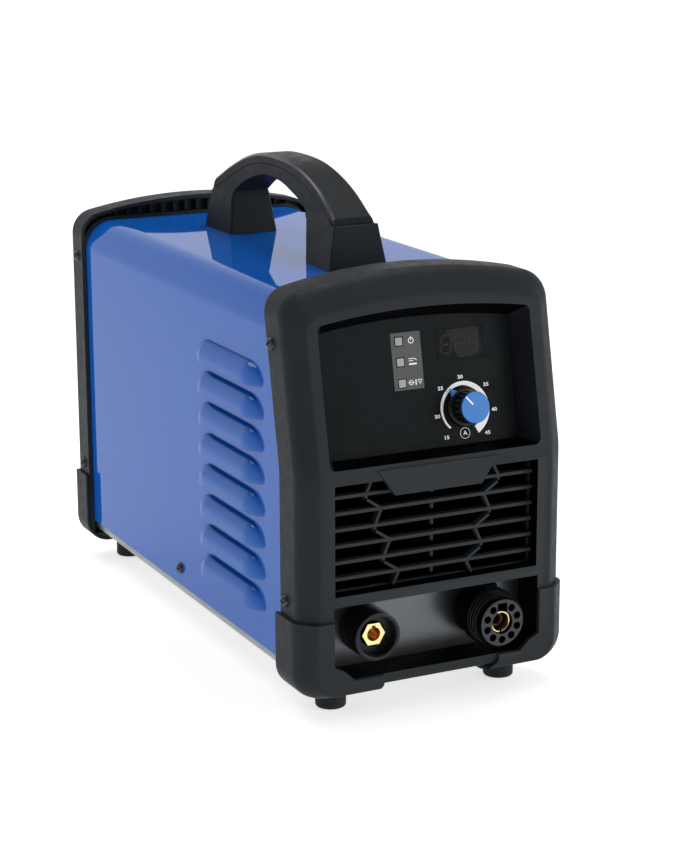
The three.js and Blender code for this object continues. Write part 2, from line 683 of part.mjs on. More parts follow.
// ---------------------------------------------------------------- rear frame and panel
function rearFrame() {
  const solid = alongY(frameOutline(0), REAR_FRONT_EDGE, REAR_END);
  const rearPocket = alongY(frameOutline(-WALL), REAR_WEB, REAR_END + 1);
  const coverSeat = alongY(
    rounded([
      [-COVER_HALF - GAP, 21.4, 0], [COVER_HALF + GAP, 21.4, 0],
      [COVER_HALF + GAP, COVER_TOP + GAP, COVER_RADIUS], [-COVER_HALF - GAP, COVER_TOP + GAP, COVER_RADIUS],
    ], 6),
    REAR_FRONT_EDGE - 1,
    COVER_REAR + GAP,
  );
  const bottomSill = block(-COVER_HALF - 1, COVER_HALF + 1, REAR_FRONT_EDGE - 1, REAR_END, 0, 25);
  const opening = alongY(roundedRectangle(-97, 33, 97, 302, 14), 440, 480);
  const frontPocket = cut(
    alongY(frameOutline(-WALL), REAR_FRONT_EDGE - 1, REAR_WEB - WALL),
    alongY(roundedRectangle(-110, 0, 110, COVER_TOP + 2.6, 27, 6), 440, 480),
  );
  return cut(solid, rearPocket, cut(coverSeat, bottomSill), opening, frontPocket);
}

const PANEL_REAR_FACE = 452;
const SWITCH = { x: 62, z: 82 };
const GLAND = { x: -2, z: 72 };
const INLET = { x: -62, z: 72 };
const STUD = { x: 0, z: 112 };
const THROUGH_PANEL = [PANEL_REAR_FACE - 12, PANEL_REAR_FACE + 28]; // y range of its cut-outs

function rearPanel() {
  const plate = alongY(
    roundedRectangle(-105.2, 26, 105.2, 308.2, 23, 5),
    PANEL_REAR_FACE - SHEET,
    PANEL_REAR_FACE,
  );
  return cut(
    plate,
    disc(0, FAN_Z, 56, ...THROUGH_PANEL, 36),
    block(SWITCH.x - 11, SWITCH.x + 11, ...THROUGH_PANEL, SWITCH.z - 14.5, SWITCH.z + 14.5),
    disc(GLAND.x, GLAND.z, 8.4, ...THROUGH_PANEL, 16),
    disc(INLET.x, INLET.z, 7, ...THROUGH_PANEL, 16),
    disc(STUD.x, STUD.z, 3, ...THROUGH_PANEL, 12),
  );
}

function fanGuard() {
  const y0 = PANEL_REAR_FACE + GAP;
  const rings = [56.5, 43.5, 30].map((r) => tube(0, FAN_Z, r, r - 2, y0, y0 + 2, 24));
  const centre = disc(0, FAN_Z, 18, y0, y0 + 2, 16);
  const spokes = [45, 135].map((angle) =>
    new THREE.BoxGeometry(126, 2, 3)
      .rotateY(THREE.MathUtils.degToRad(angle))
      .translate(0, y0 + 1, FAN_Z),
  );
  const eyes = [45, 135, 225, 315].map((angle) => {
    const turn = THREE.MathUtils.degToRad(angle);
    return disc(64 * Math.cos(turn), FAN_Z + 64 * Math.sin(turn), 5, y0, y0 + 2, 8);
  });
  return join(...rings, centre, ...spokes, ...eyes);
}

const FAN_REAR = PANEL_REAR_FACE - SHEET - GAP;
const FAN_FRONT = FAN_REAR - 25;

function fanHousing() {
  const half = FAN_SIZE / 2;
  const square = alongY(
    roundedRectangle(-half, FAN_Z - half, half, FAN_Z + half, 6, 2), FAN_FRONT, FAN_REAR,
  );
  const bore = disc(0, FAN_Z, 56.5, FAN_FRONT - 1, FAN_REAR + 1, 32);
  const waist = cut(
    disc(0, FAN_Z, 120, FAN_FRONT + 4, FAN_REAR - 4, 32),
    disc(0, FAN_Z, 59, 400, 480, 32),
  );
  const struts = [0, 120, 240].map((angle) =>
    new THREE.BoxGeometry(58, 3, 6)
      .translate(29, 0, 0)
      .rotateY(THREE.MathUtils.degToRad(angle))
      .translate(0, FAN_FRONT + 1.5, FAN_Z),
  );
  const mount = disc(0, FAN_Z, 20, FAN_FRONT, FAN_FRONT + 3, 20);
  const corners = cut(square, bore, waist);
  return join(corners, mount, ...struts);
}

// Drawn round its own axis: a hub with seven pitched blades.
function fanRotor() {
  const hub = disc(0, 0, 19, -9, 9.5, 24);
  const blades = Array.from({ length: 7 }, (_, i) =>
    new THREE.BoxGeometry(36, 1.6, 24)
      .rotateX(THREE.MathUtils.degToRad(38))
      .translate(36, 0, 0)
      .rotateY((2 * Math.PI * i) / 7),
  );
  const sweep = disc(0, 0, 54, -9, 9, 32);
  return join(hub, common(join(...blades), sweep));
}

// ---------------------------------------------------------------- rear fittings
function switchHousing() {
  const y0 = PANEL_REAR_FACE + GAP;
  const flange = block(SWITCH.x - 13, SWITCH.x + 13, y0, y0 + 2, SWITCH.z - 17, SWITCH.z + 17);
  const body = block(
    SWITCH.x - 10.6, SWITCH.x + 10.6, y0 - 24, y0 + 1, SWITCH.z - 14, SWITCH.z + 14,
  );
  const well = block(SWITCH.x - 8.6, SWITCH.x + 8.6, y0 - 12, y0 + 5, SWITCH.z - 13, SWITCH.z + 13);
  return cut(join(flange, body), well);
}

// Drawn round its pivot, which runs along x: its face is a shallow V.
const rocker = () =>
  alongX(points([[-5, -11.6], [-5, 11.6], [2.6, 11.9], [1, 0], [2.6, -11.9]]), -8.2, 8.2);

const hexPrism = (x, z, across, y0, y1) =>
  alongY(arc(x, z, across / Math.sqrt(3), 0, 300, 5), y0, y1);

function glandBody() {
  const y0 = PANEL_REAR_FACE + GAP;
  const flange = hexPrism(GLAND.x, GLAND.z, 24, y0, y0 + 5);
  const thread = disc(GLAND.x, GLAND.z, 8, y0 - 12, y0 + 12, 20);
  return cut(join(flange, thread), disc(GLAND.x, GLAND.z, 4.6, y0 - 20, y0 + 20, 16));
}

function glandNut() {
  const y0 = PANEL_REAR_FACE + GAP + 5 + GAP;
  const body = hexPrism(GLAND.x, GLAND.z, 22, y0, y0 + 7);
  const dome = new THREE.CylinderGeometry(7, 10.6, 6, 20).translate(GLAND.x, y0 + 9.9, GLAND.z);
  return cut(
    join(body, dome),
    disc(GLAND.x, GLAND.z, 8 + GAP, y0 - 1, y0 + 7.2, 20),
    disc(GLAND.x, GLAND.z, 4.6, y0 - 1, y0 + 20, 16),
  );
}

function airInlet() {
  const y0 = PANEL_REAR_FACE + GAP;
  const hex = hexPrism(INLET.x, INLET.z, 17, y0, y0 + 6);
  const stem = disc(INLET.x, INLET.z, 6.6, y0 - 14, y0 + 1, 16);
  const nipple = new THREE.LatheGeometry(
    points([[0, 5], [5.8, 5], [5.8, 9], [4.2, 10.5], [4.2, 13], [5.4, 14.5], [5.4, 17], [0, 17]]), 16,
  ).translate(INLET.x, y0, INLET.z);
  return cut(join(hex, stem, nipple), disc(INLET.x, INLET.z, 2.6, y0 - 20, y0 + 30, 12));
}

const earthStud = () =>
  join(
    disc(STUD.x, STUD.z, 2.7, PANEL_REAR_FACE - 10, PANEL_REAR_FACE + 9, 12),
    hexPrism(STUD.x, STUD.z, 10, PANEL_REAR_FACE + GAP, PANEL_REAR_FACE + 4.5),
  );

// ---------------------------------------------------------------- carrying handle
const spline = (pairs, steps) => new THREE.SplineCurve(points(pairs)).getPoints(steps);

const GRIP_FRONT = 138;
const GRIP_REAR = 371;
const GRIP_RIDGE = [
  [GRIP_FRONT, 349.5], [169, 367.4], [199, 378.6], [230, 384],
  [275, 384.3], [307, 378.7], [339, 367], [GRIP_REAR, 350.5],
];
const GRIP_SEAM = [
  [139.5, 343.8], [181, 363.7], [214, 373.4], [252, 376.9], [288, 374.2], [320, 365.1],
  [370, 343.8],
];
const GRIP_UNDER = [
  [330, 346], [308, 357.4], [276, 365.6], [245, 365.6], [221, 360], [199.5, 352.6],
  [188, 342.7],
];
const SEAM_GAP = 0.4; // measured upwards, between the grip and the body

// The handle narrows upwards from the cover, and its grip is a little waisted.
function handleTaper() {
  const top = 400;
  const front = alongY(
    points([
      [-HANDLE_BASE_HALF, COVER_TOP], [HANDLE_BASE_HALF, COVER_TOP],
      [HANDLE_TOP_HALF, HANDLE_TAPER_TOP], [HANDLE_TOP_HALF, top],
      [-HANDLE_TOP_HALF, top], [-HANDLE_TOP_HALF, HANDLE_TAPER_TOP],
    ]),
    0,
    FAR,
  );
  const edge = spline(
    [
      [HANDLE_TOP_HALF, GRIP_FRONT],
      [HANDLE_TOP_HALF - HANDLE_WAIST, (GRIP_FRONT + GRIP_REAR) / 2],
      [HANDLE_TOP_HALF, GRIP_REAR],
    ],
    8,
  );
  const wide = HANDLE_BASE_HALF + 5;
  const plan = [
    new THREE.Vector2(wide, 0),
    ...edge,
    new THREE.Vector2(wide, FAR),
    new THREE.Vector2(-wide, FAR),
    ...edge.map((p) => new THREE.Vector2(-p.x, p.y)).reverse(),
    new THREE.Vector2(-wide, 0),
  ];
  return join(
    common(front, alongZ(plan, HANDLE_TAPER_TOP, top)),
    common(front, block(-wide, wide, 0, FAR, 0, HANDLE_TAPER_TOP)),
  );
}

function handleBody() {
  const profile = [
    ...points([[129.5, COVER_TOP + GAP], [180.3, COVER_TOP + GAP], [184.5, 327]]),
    ...spline(GRIP_UNDER, 10).reverse(),
    ...points([[330.5, 336], [326, COVER_TOP + GAP], [382, COVER_TOP + GAP], [377, 332]]),
    ...spline(GRIP_SEAM, 12).reverse(),
    new THREE.Vector2(135, 343.4),
  ];
  return common(alongX(profile, -30, 30), handleTaper());
}

function handleGrip() {
  const seamAbove = spline(GRIP_SEAM, 12).map((p) => new THREE.Vector2(p.x, p.y + SEAM_GAP));
  const profile = [...seamAbove, ...spline(GRIP_RIDGE, 14).reverse()];
  return common(alongX(profile, -30, 30), handleTaper());
}

// ---------------------------------------------------------------- inner assemblies
const powerBoard = () => block(-78, -76.4, 100, 375, 96, 290);
const fins = (count, x0, x1, y0, pitch, z0, z1) =>
  Array.from({ length: count }, (_, i) => block(x0, x1, y0 + i * pitch, y0 + i * pitch + 2, z0, z1));

const heatsink = () =>
  join(block(-72, -64, 120, 360, 120, 260), ...fins(16, -65, -34, 124, 15, 120, 260));

const transformer = () =>
  join(
    block(-20, 40, 250, 320, 26, 86),
    new THREE.CylinderGeometry(30, 30, 48, 24).rotateZ(Math.PI / 2).translate(10, 285, 76),
  );

const inductor = () =>
  new THREE.TorusGeometry(26, 11, 8, 20).translate(52, 0, 0).translate(0, 180, 62);

const capacitor = (y) =>
  new THREE.CylinderGeometry(17.5, 17.5, 50, 20).rotateX(Math.PI / 2).translate(60, y, 140);

const capacitorBoard = () => block(20, 92, 110, 300, 112, 113.6);

const regulator = () =>
  join(
    new THREE.CylinderGeometry(15, 15, 46, 20).rotateX(Math.PI / 2).translate(INLET.x, 405, 72),
    block(INLET.x - 17, INLET.x + 17, 388, 422, 70, 92),
    disc(INLET.x, 81, 6, 420, 432, 12),
  );

const solenoidValve = () =>
  join(
    block(-86, -58, 330, 372, 30, 52),
    new THREE.CylinderGeometry(11, 11, 30, 16).rotateX(Math.PI / 2).translate(-72, 351, 64),
  );

// ---------------------------------------------------------------- screws
// Drawn along z with the washer face at z = 0: a pan head on a short shank.
const screw = () =>
  join(
    new THREE.LatheGeometry(
      points([[0, GAP], [4.8, GAP], [4.8, 1], [3.4, 2.6], [0, 3.3]]), 8,
    ).rotateX(Math.PI / 2),
    new THREE.CylinderGeometry(1.4, 1.4, 6, 6).rotateX(Math.PI / 2).translate(0, 0, -2.4),
  );

// ---------------------------------------------------------------- assembly
const unit = new THREE.Group();
unit.position.y = -ORIGIN_Y;

const leaning = new THREE.Group();
leaning.position.z = LEAN_START;
leaning.rotation.x = -LEAN_ANGLE;
unit.add(leaning);

function add(parent, name, geometry, material) {
  const mesh = new THREE.Mesh(geometry, material);
  mesh.name = name;
  parent.add(mesh);
  return mesh;
}

add(unit, "front_bezel", drilled(frontBezel(), "front_upper", "front_lower"), PAINT.charcoal());
add(unit, "front_grille", frontGrille(), PAINT.charcoal());
add(leaning, "control_panel", controlPanel(), PAINT.panel());
for (const [name, z] of Object.entries(LED_ROWS)) add(leaning, name, indicator(z), PAINT.lens());
add(leaning, "display_window", displayWindow(), PAINT.window());
add(leaning, "display_module", displayModule(), PAINT.black());
add(leaning, "control_board", controlBoard(), PAINT.board());
add(leaning, "current_potentiometer", potentiometer(), PAINT.steel());

const knob = new THREE.Group();
knob.position.set(KNOB_X, KNOB_TIP, KNOB_UP);
leaning.add(knob);
add(knob, "knob_body", knobBody(), PAINT.black());
add(knob, "knob_cap", knobCap(), PAINT.knobBlue());
add(knob, "knob_spindle", knobSpindle(), PAINT.steel());

add(unit, "connector_plate", connectorPlate(), PAINT.charcoal());
add(unit, "ground_socket_body", groundSocketBody(), PAINT.black());
add(unit, "ground_socket_contact", groundSocketContact(), PAINT.brass());
add(unit, "torch_socket_body", torchSocketBody(), PAINT.charcoal());
add(unit, "torch_socket_contact", torchSocketContact(), PAINT.brass());

for (const [side, x] of [["left", -1], ["right", 1]]) {
  add(unit, `bumper_front_${side}`, frontBumper(x), PAINT.charcoal());
  add(unit, `bumper_rear_${side}`, rearBumper(x), PAINT.charcoal());
  for (const [end, y] of [["front", FOOT_FRONT_Y], ["rear", FOOT_REAR_Y]])
    add(unit, `foot_${end}_${side}`, foot(), PAINT.rubber()).position.set(x * FOOT_X, y, 0);
}

add(unit, "cover_shell", drilled(coverShell(), "front_upper", "cover_lower"), PAINT.blue());
add(unit, "base_tray", drilled(baseTray(), "cover_lower"), PAINT.zinc());
add(unit, "rear_frame", drilled(rearFrame(), "rear_upper", "rear_lower"), PAINT.charcoal());
add(unit, "rear_panel", rearPanel(), PAINT.black());
add(unit, "fan_guard", fanGuard(), PAINT.steel());
add(unit, "fan_housing", fanHousing(), PAINT.black());
add(unit, "fan_rotor", fanRotor(), PAINT.black()).position.set(0, (FAN_FRONT + FAN_REAR) / 2 + 2, FAN_Z);
add(unit, "mains_switch_housing", switchHousing(), PAINT.black());
const rockerMesh = add(unit, "mains_switch_rocker", rocker(), PAINT.black());
rockerMesh.position.set(SWITCH.x, PANEL_REAR_FACE + 0.5, SWITCH.z);
rockerMesh.rotation.x = THREE.MathUtils.degToRad(9);
add(unit, "mains_gland_body", glandBody(), PAINT.black());
add(unit, "mains_gland_nut", glandNut(), PAINT.black());
add(unit, "air_inlet_fitting", airInlet(), PAINT.brass());
add(unit, "earth_stud", earthStud(), PAINT.steel());

add(unit, "handle_body", handleBody(), PAINT.black());
add(unit, "handle_grip", handleGrip(), PAINT.charcoal());

add(unit, "power_board", powerBoard(), PAINT.board());
add(unit, "heatsink", heatsink(), PAINT.aluminium());
add(unit, "main_transformer", transformer(), PAINT.copper());
add(unit, "pfc_inductor", inductor(), PAINT.copper());
add(unit, "capacitor_board", capacitorBoard(), PAINT.board());
[160, 225].forEach((y, i) => add(unit, `capacitor_${i + 1}`, capacitor(y), PAINT.black()));
add(unit, "air_filter_regulator", regulator(), PAINT.aluminium());
add(unit, "solenoid_valve", solenoidValve(), PAINT.brass());

for (const [side, x] of [["left", -1], ["right", 1]])
  for (const [place, [y, z, out]] of Object.entries(SCREWS)) {
    const mesh = add(unit, `screw_${place}_${side}`, screw(), PAINT.steel());
    mesh.position.set(x * out, y, z);
    mesh.rotation.y = (x * Math.PI) / 2;
  }

export default unit;
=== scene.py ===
"""Looks of the plasma cutter unit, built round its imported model.

Shapes are written in millimetres in the unit's own layout: x to the right of the middle, y to the
rear from the front plane of the bezel, z up from the surface the feet stand on. publish() turns
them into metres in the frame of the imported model.
"""

import json
import math

import bmesh
import bpy
import numpy as np
from mathutils import Matrix, Vector


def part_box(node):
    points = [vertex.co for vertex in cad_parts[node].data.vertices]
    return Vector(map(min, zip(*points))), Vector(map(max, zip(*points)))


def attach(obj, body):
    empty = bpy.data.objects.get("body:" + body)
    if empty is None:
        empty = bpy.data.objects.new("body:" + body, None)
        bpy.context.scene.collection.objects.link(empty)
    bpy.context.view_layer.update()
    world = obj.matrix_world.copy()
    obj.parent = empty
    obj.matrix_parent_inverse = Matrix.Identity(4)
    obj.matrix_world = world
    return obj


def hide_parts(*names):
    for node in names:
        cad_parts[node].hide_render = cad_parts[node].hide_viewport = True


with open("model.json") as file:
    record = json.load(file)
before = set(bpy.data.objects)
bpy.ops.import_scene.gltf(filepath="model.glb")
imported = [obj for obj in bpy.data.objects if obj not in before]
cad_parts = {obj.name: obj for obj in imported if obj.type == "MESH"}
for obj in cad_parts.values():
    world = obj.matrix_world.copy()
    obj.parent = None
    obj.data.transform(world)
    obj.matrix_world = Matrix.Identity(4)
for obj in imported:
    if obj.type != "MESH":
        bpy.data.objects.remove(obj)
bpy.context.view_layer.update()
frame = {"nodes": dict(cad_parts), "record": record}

MM = 0.001
REAR_FRONT_EDGE = 448  # where the rear frame starts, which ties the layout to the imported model
ORIGIN = Vector((0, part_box("rear_frame")[0].y / MM - REAR_FRONT_EDGE, 0))
TO_FRAME = Matrix.Scale(MM, 4) @ Matrix.Translation(ORIGIN)

HALF_WIDTH = 111
FRAME_BOTTOM = 20
FRAME_TOP = 327
CROWN_RADIUS = 455
WALL = 3
GAP = 0.3  # between touching pieces
LEAN_START = 187  # height where the face starts to lean back
LEAN_SLOPE = 0.207
LEAN_ANGLE = math.atan(LEAN_SLOPE)
BEZEL_DEPTH = 38.7
CHAMFER_DEPTH = 10.5
COVER_HALF = 107
COVER_TOP = 310
COVER_BOTTOM = 37.5
COVER_RADIUS = 25
COVER_FRONT = 34
COVER_REAR = 456
SHEET = 1.5
REAR_WEB = 460
REAR_END = 471
BUMPER = 3
PLATE_FRONT = 28
PANEL_DEPTH = 19.8
KNOB_TIP = 3.4

LEAN = Matrix.Translation((0, 0, LEAN_START)) @ Matrix.Rotation(-LEAN_ANGLE, 4, "X")


def centre(node):
    """Middle of a CAD node's box, in the layout's millimetres."""
    low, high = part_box(node)
    return (low + high) / 2 / MM - ORIGIN


def on_face(point):
    """A layout point as x, depth and height on the leaning face."""
    return LEAN.inverted() @ point


# ---------------------------------------------------------------- outlines, as lists of (x, z)
def arc(x, z, radius, start, end, steps):
    angles = [math.radians(start + (end - start) * i / steps) for i in range(steps + 1)]
    return [(x + radius * math.cos(a), z + radius * math.sin(a)) for a in angles]


def circle(x, z, radius, steps):
    return arc(x, z, radius, 0, 360, steps)[:-1]


def rounded(corners, steps=8):
    """A closed outline whose corners are (x, z) or (x, z, radius)."""
    shape = []
    for i, corner in enumerate(corners):
        here = Vector(corner[:2])
        radius = corner[2] if len(corner) > 2 else 0
        if not radius:
            shape.append(tuple(here))
            continue
        before = (Vector(corners[i - 1][:2]) - here).normalized()
        after = (Vector(corners[(i + 1) % len(corners)][:2]) - here).normalized()
        half = math.acos(max(-1, min(1, before.dot(after)))) / 2
        reach = radius / math.tan(half)
        middle = here + (before + after).normalized() * (radius / math.sin(half))
        start = here + before * reach - middle
        end = here + after * reach - middle
        first = math.degrees(math.atan2(start.y, start.x))
        turn = math.degrees(math.atan2(end.y, end.x)) - first
        turn = (turn + 180) % 360 - 180
        shape += arc(middle.x, middle.y, radius, first, first + turn, steps)
    return shape


def rounded_rectangle(x0, z0, x1, z1, radius, steps=8):
    return rounded([(x0, z0, radius), (x1, z0, radius), (x1, z1, radius), (x0, z1, radius)], steps)


def rectangle(x0, z0, x1, z1):
    return [(x0, z0), (x1, z0), (x1, z1), (x0, z1)]


def crowned(half, bottom, top, crown, corner, bottom_corner, steps=14):
    """A flat bottom with round corners, upright sides and a crowned top."""
    crown_z = top - crown
    corner_x = half - corner
    corner_z = crown_z + math.sqrt((crown - corner) ** 2 - corner_x**2)
    lift = math.degrees(math.atan2(corner_z - crown_z, corner_x))
    low_x, low_z = half - bottom_corner, bottom + bottom_corner
    return (
        arc(-low_x, low_z, bottom_corner, 180, 270, steps)
        + arc(low_x, low_z, bottom_corner, 270, 360, steps)
        + arc(corner_x, corner_z, corner, 0, lift, steps)
        + arc(0, crown_z, crown, lift, 180 - lift, 24)[1:-1]
        + arc(-corner_x, corner_z, corner, 180 - lift, 180, steps)
    )


def spline(pairs, count):
    """count points, evenly spaced along a smooth curve through the pairs."""
    knots = [Vector(p) for p in pairs]
    knots = [knots[0] * 2 - knots[1], *knots, knots[-1] * 2 - knots[-2]]
    dense = []
    for a, b, c, d in zip(knots, knots[1:], knots[2:], knots[3:]):
        for i in range(16):
            t = i / 16
            dense.append(
                0.5 * (2 * b + (c - a) * t + (2 * a - 5 * b + 4 * c - d) * t**2
                       + (3 * b - 3 * c + d - a) * t**3)
            )
    dense.append(knots[-2])
    return resampled(dense, count)


def resampled(path, count):
    """count points, evenly spaced along a path of points."""
    path = np.array([tuple(p) for p in path], float)
    along = np.concatenate([[0], np.cumsum(np.linalg.norm(np.diff(path, axis=0), axis=1))])
    wanted = np.linspace(0, along[-1], count)
    columns = [np.interp(wanted, along, path[:, k]) for k in range(path.shape[1])]
    return [tuple(row) for row in np.stack(columns, axis=1)]


# ---------------------------------------------------------------- solids, as working objects
def working(mesh):
    made = bpy.data.objects.new("work", mesh)
    bpy.context.scene.collection.objects.link(made)
    return made


def solid(vertices, faces, matrix=None):
    """A working object from vertices and faces, with its normals pointing out."""
    mesh = bpy.data.meshes.new("work")
    mesh.from_pydata([tuple(v) for v in vertices], [], faces)
    if matrix is not None:
        mesh.transform(matrix)
    work = bmesh.new()
    work.from_mesh(mesh)
    bmesh.ops.remove_doubles(work, verts=work.verts, dist=1e-4)
    bmesh.ops.recalc_face_normals(work, faces=work.faces)
    work.to_mesh(mesh)
    work.free()
    return working(mesh)


def loft(rings, matrix=None, capped=True, closed=True):
    """A skin through rings of points with equal counts."""
    count = len(rings[0])
    faces = []
    for r in range(len(rings) - 1):
        for i in range(count if closed else count - 1):
            j = (i + 1) % count
            faces.append((r * count + i, r * count + j, (r + 1) * count + j, (r + 1) * count + i))
    if capped:
        last = (len(rings) - 1) * count
        faces += [tuple(range(count)), tuple(range(last, last + count))[::-1]]
    return solid([p for ring in rings for p in ring], faces, matrix)


def along_y(outline, y0, y1, matrix=None):
    return loft([[(x, y, z) for x, z in outline] for y in (y0, y1)], matrix)


def along_x(outline, x0, x1, matrix=None):
    return loft([[(x, y, z) for y, z in outline] for x in (x0, x1)], matrix)


def block(x0, x1, y0, y1, z0, z1, matrix=None):
    return along_y(rectangle(x0, z0, x1, z1), y0, y1, matrix)


def disc(x, z, radius, y0, y1, steps=48, matrix=None):
    return along_y(circle(x, z, radius, steps), y0, y1, matrix)


def lathe(profile, steps=64, matrix=None):
    """Turns a closed profile of (radius, y) points round the y axis."""
    rings = []
    for i in range(steps):
        a = 2 * math.pi * i / steps
        rings.append([(r * math.cos(a), y, r * math.sin(a)) for r, y in profile])
    return loft([*rings, rings[0]], matrix, capped=False)


def evaluated(made):
    """Applies the working object's modifiers."""
    graph = bpy.context.evaluated_depsgraph_get()
    mesh = bpy.data.meshes.new_from_object(made.evaluated_get(graph))
    made.modifiers.clear()
    made.data = mesh
    return made


def boolean(operation, base, *tools):
    for tool in tools:
        step = base.modifiers.new("step", "BOOLEAN")
        step.operation = operation
        step.solver = "EXACT"
        step.object = tool
    evaluated(base)
    for tool in tools:
        bpy.data.objects.remove(tool)
    return base


def cut(base, *tools):
    return boolean("DIFFERENCE", base, *tools)


def join(base, *tools):
    return boolean("UNION", base, *tools)


def common(base, *tools):
    return boolean("INTERSECT", base, *tools)


def merged(*parts):
    """Several working objects as one, without a boolean."""
    work = bmesh.new()
    for part in parts:
        work.from_mesh(part.data)
        bpy.data.objects.remove(part)
    mesh = bpy.data.meshes.new("work")
    work.to_mesh(mesh)
    work.free()
    return working(mesh)


def copied(part, matrix):
    mesh = part.data.copy()
    mesh.transform(matrix)
    return working(mesh)


def softened(part, width, angle=32, segments=3):
    """Rounds the edges that are sharper than the angle."""
    work = bmesh.new()
    work.from_mesh(part.data)
    bmesh.ops.remove_doubles(work, verts=work.verts, dist=1e-3)
    bmesh.ops.dissolve_limit(
        work, angle_limit=math.radians(0.4), verts=work.verts, edges=work.edges
    )
    work.to_mesh(part.data)
    work.free()
    bevel = part.modifiers.new("soft", "BEVEL")
    bevel.width = width
    bevel.segments = segments
    bevel.limit_method = "ANGLE"
    bevel.angle_limit = math.radians(angle)
    bevel.miter_outer = "MITER_ARC"
    bevel.harden_normals = False
    return evaluated(part)


def publish(part, name, body, material, nodes=(), smooth=40):
    """Makes a working object a piece of the unit: in metres, riding on a body, in its finish."""
    mesh = part.data
    mesh.transform(TO_FRAME)
    materials = material if isinstance(material, (list, tuple)) else [material]
    places = [face.material_index for face in mesh.polygons]
    mesh.materials.clear()
    for one in materials:
        mesh.materials.append(one)
    mesh.polygons.foreach_set("material_index", [min(i, len(materials) - 1) for i in places])
    mesh.shade_smooth()
    mesh.set_sharp_from_angle(angle=math.radians(smooth))
    weighted = part.modifiers.new("normals", "WEIGHTED_NORMAL")
    weighted.keep_sharp = True
    evaluated(part)
    part.name = name
    part.data.name = name
    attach(part, body)
    if nodes:
        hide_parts(*nodes)
    return part


# ---------------------------------------------------------------- materials
def noise(tree, place, scale, detail=4.0, roughness=0.6):
    made = tree.nodes.new("ShaderNodeTexNoise")
    made.inputs["Scale"].default_value = scale
    made.inputs["Detail"].default_value = detail
    made.inputs["Roughness"].default_value = roughness
    tree.links.new(place, made.inputs["Vector"])
    return made.outputs["Fac"]


def spread(tree, value, low, high, start=0.35, end=0.65):
    """Maps a noise value to a range, clamped."""
    made = tree.nodes.new("ShaderNodeMapRange")
    made.inputs["From Min"].default_value = start
    made.inputs["From Max"].default_value = end
    made.inputs["To Min"].default_value = low
    made.inputs["To Max"].default_value = high
    tree.links.new(value, made.inputs["Value"])
    return made.outputs["Result"]


def blend_colour(tree, factor, first, second):
    made = tree.nodes.new("ShaderNodeMix")
    made.data_type = "RGBA"
    tree.links.new(factor, made.inputs["Factor"])
    for socket, colour in ((made.inputs[6], first), (made.inputs[7], second)):
        if isinstance(colour, bpy.types.NodeSocket):
            tree.links.new(colour, socket)
        else:
            socket.default_value = (*colour, 1)
    return made.outputs[2]


def finish_of(
    name, colour, roughness, metallic=0.0, specular=0.5, coat=0.0, coat_roughness=0.05,
    variation=0.12, patch=18.0, grain=0.0, grain_scale=2600.0, edge_highlight=0.0, edge_highlight_colour=None,
    roughness_spread=0.06, stretch=None,
):
    """A principled finish with colour patches, roughness patches, grain and a painted highlight on convex
    edges.
    """
    made = bpy.data.materials.new(name)
    made.use_nodes = True
    tree = made.node_tree
    shader = tree.nodes["Principled BSDF"]
    shader.inputs["Metallic"].default_value = metallic
    shader.inputs["Specular IOR Level"].default_value = specular
    shader.inputs["Coat Weight"].default_value = coat
    shader.inputs["Coat Roughness"].default_value = coat_roughness
    place = tree.nodes.new("ShaderNodeTexCoord").outputs["Object"]
    if stretch:
        mapping = tree.nodes.new("ShaderNodeMapping")
        mapping.inputs["Scale"].default_value = stretch
        tree.links.new(place, mapping.inputs["Vector"])
        place = mapping.outputs["Vector"]
    patches = noise(tree, place, patch)
    darker = tuple(c * (1 - variation) for c in colour)
    lighter = tuple(min(1, c * (1 + variation)) for c in colour)
    tint = blend_colour(tree, spread(tree, patches, 0, 1), darker, lighter)
    # Convex edges, found by pointiness, are painted lighter: a painted highlight.
    if edge_highlight:
        geometry = tree.nodes.new("ShaderNodeNewGeometry")
        edges = spread(tree, geometry.outputs["Pointiness"], 0, edge_highlight, 0.51, 0.6)
        highlight_colour = edge_highlight_colour or tuple(min(1, c * 2.2 + 0.01) for c in colour)
        tint = blend_colour(tree, edges, tint, highlight_colour)
    tree.links.new(tint, shader.inputs["Base Color"])
    fine = noise(tree, place, patch * 6)
    tree.links.new(
        spread(tree, fine, roughness - roughness_spread, roughness + roughness_spread),
        shader.inputs["Roughness"],
    )
    if grain:
        bump = tree.nodes.new("ShaderNodeBump")
        bump.inputs["Strength"].default_value = grain
        bump.inputs["Distance"].default_value = 0.0002
        tree.links.new(noise(tree, place, grain_scale, 2.0), bump.inputs["Height"])
        tree.links.new(bump.outputs["Normal"], shader.inputs["Normal"])
    return made


CHARCOAL = finish_of(
    "moulded_charcoal", (0.0205, 0.0238, 0.0265), 0.48, specular=0.08, grain=0.16, variation=0.08, edge_highlight=0.25
)
# Painted shade: near black for the recesses' walls and floors and the torch socket's bore, a little lighter
# for the control recess's sideways walls.
RECESS_PAINTED_SHADE = finish_of("recess_painted_shade", (0.0009, 0.001, 0.0014), 0.5, specular=0.03, grain=0.1)
RECESS_PAINTED_SHADE_SIDE = finish_of("recess_side_painted_shade", (0.009, 0.0105, 0.0145), 0.5, specular=0.06, grain=0.1)
HANDLE = finish_of(
    "handle_plastic", (0.016, 0.0188, 0.0215), 0.4, specular=0.05, grain=0.06, variation=0.08, edge_highlight=0.1
)
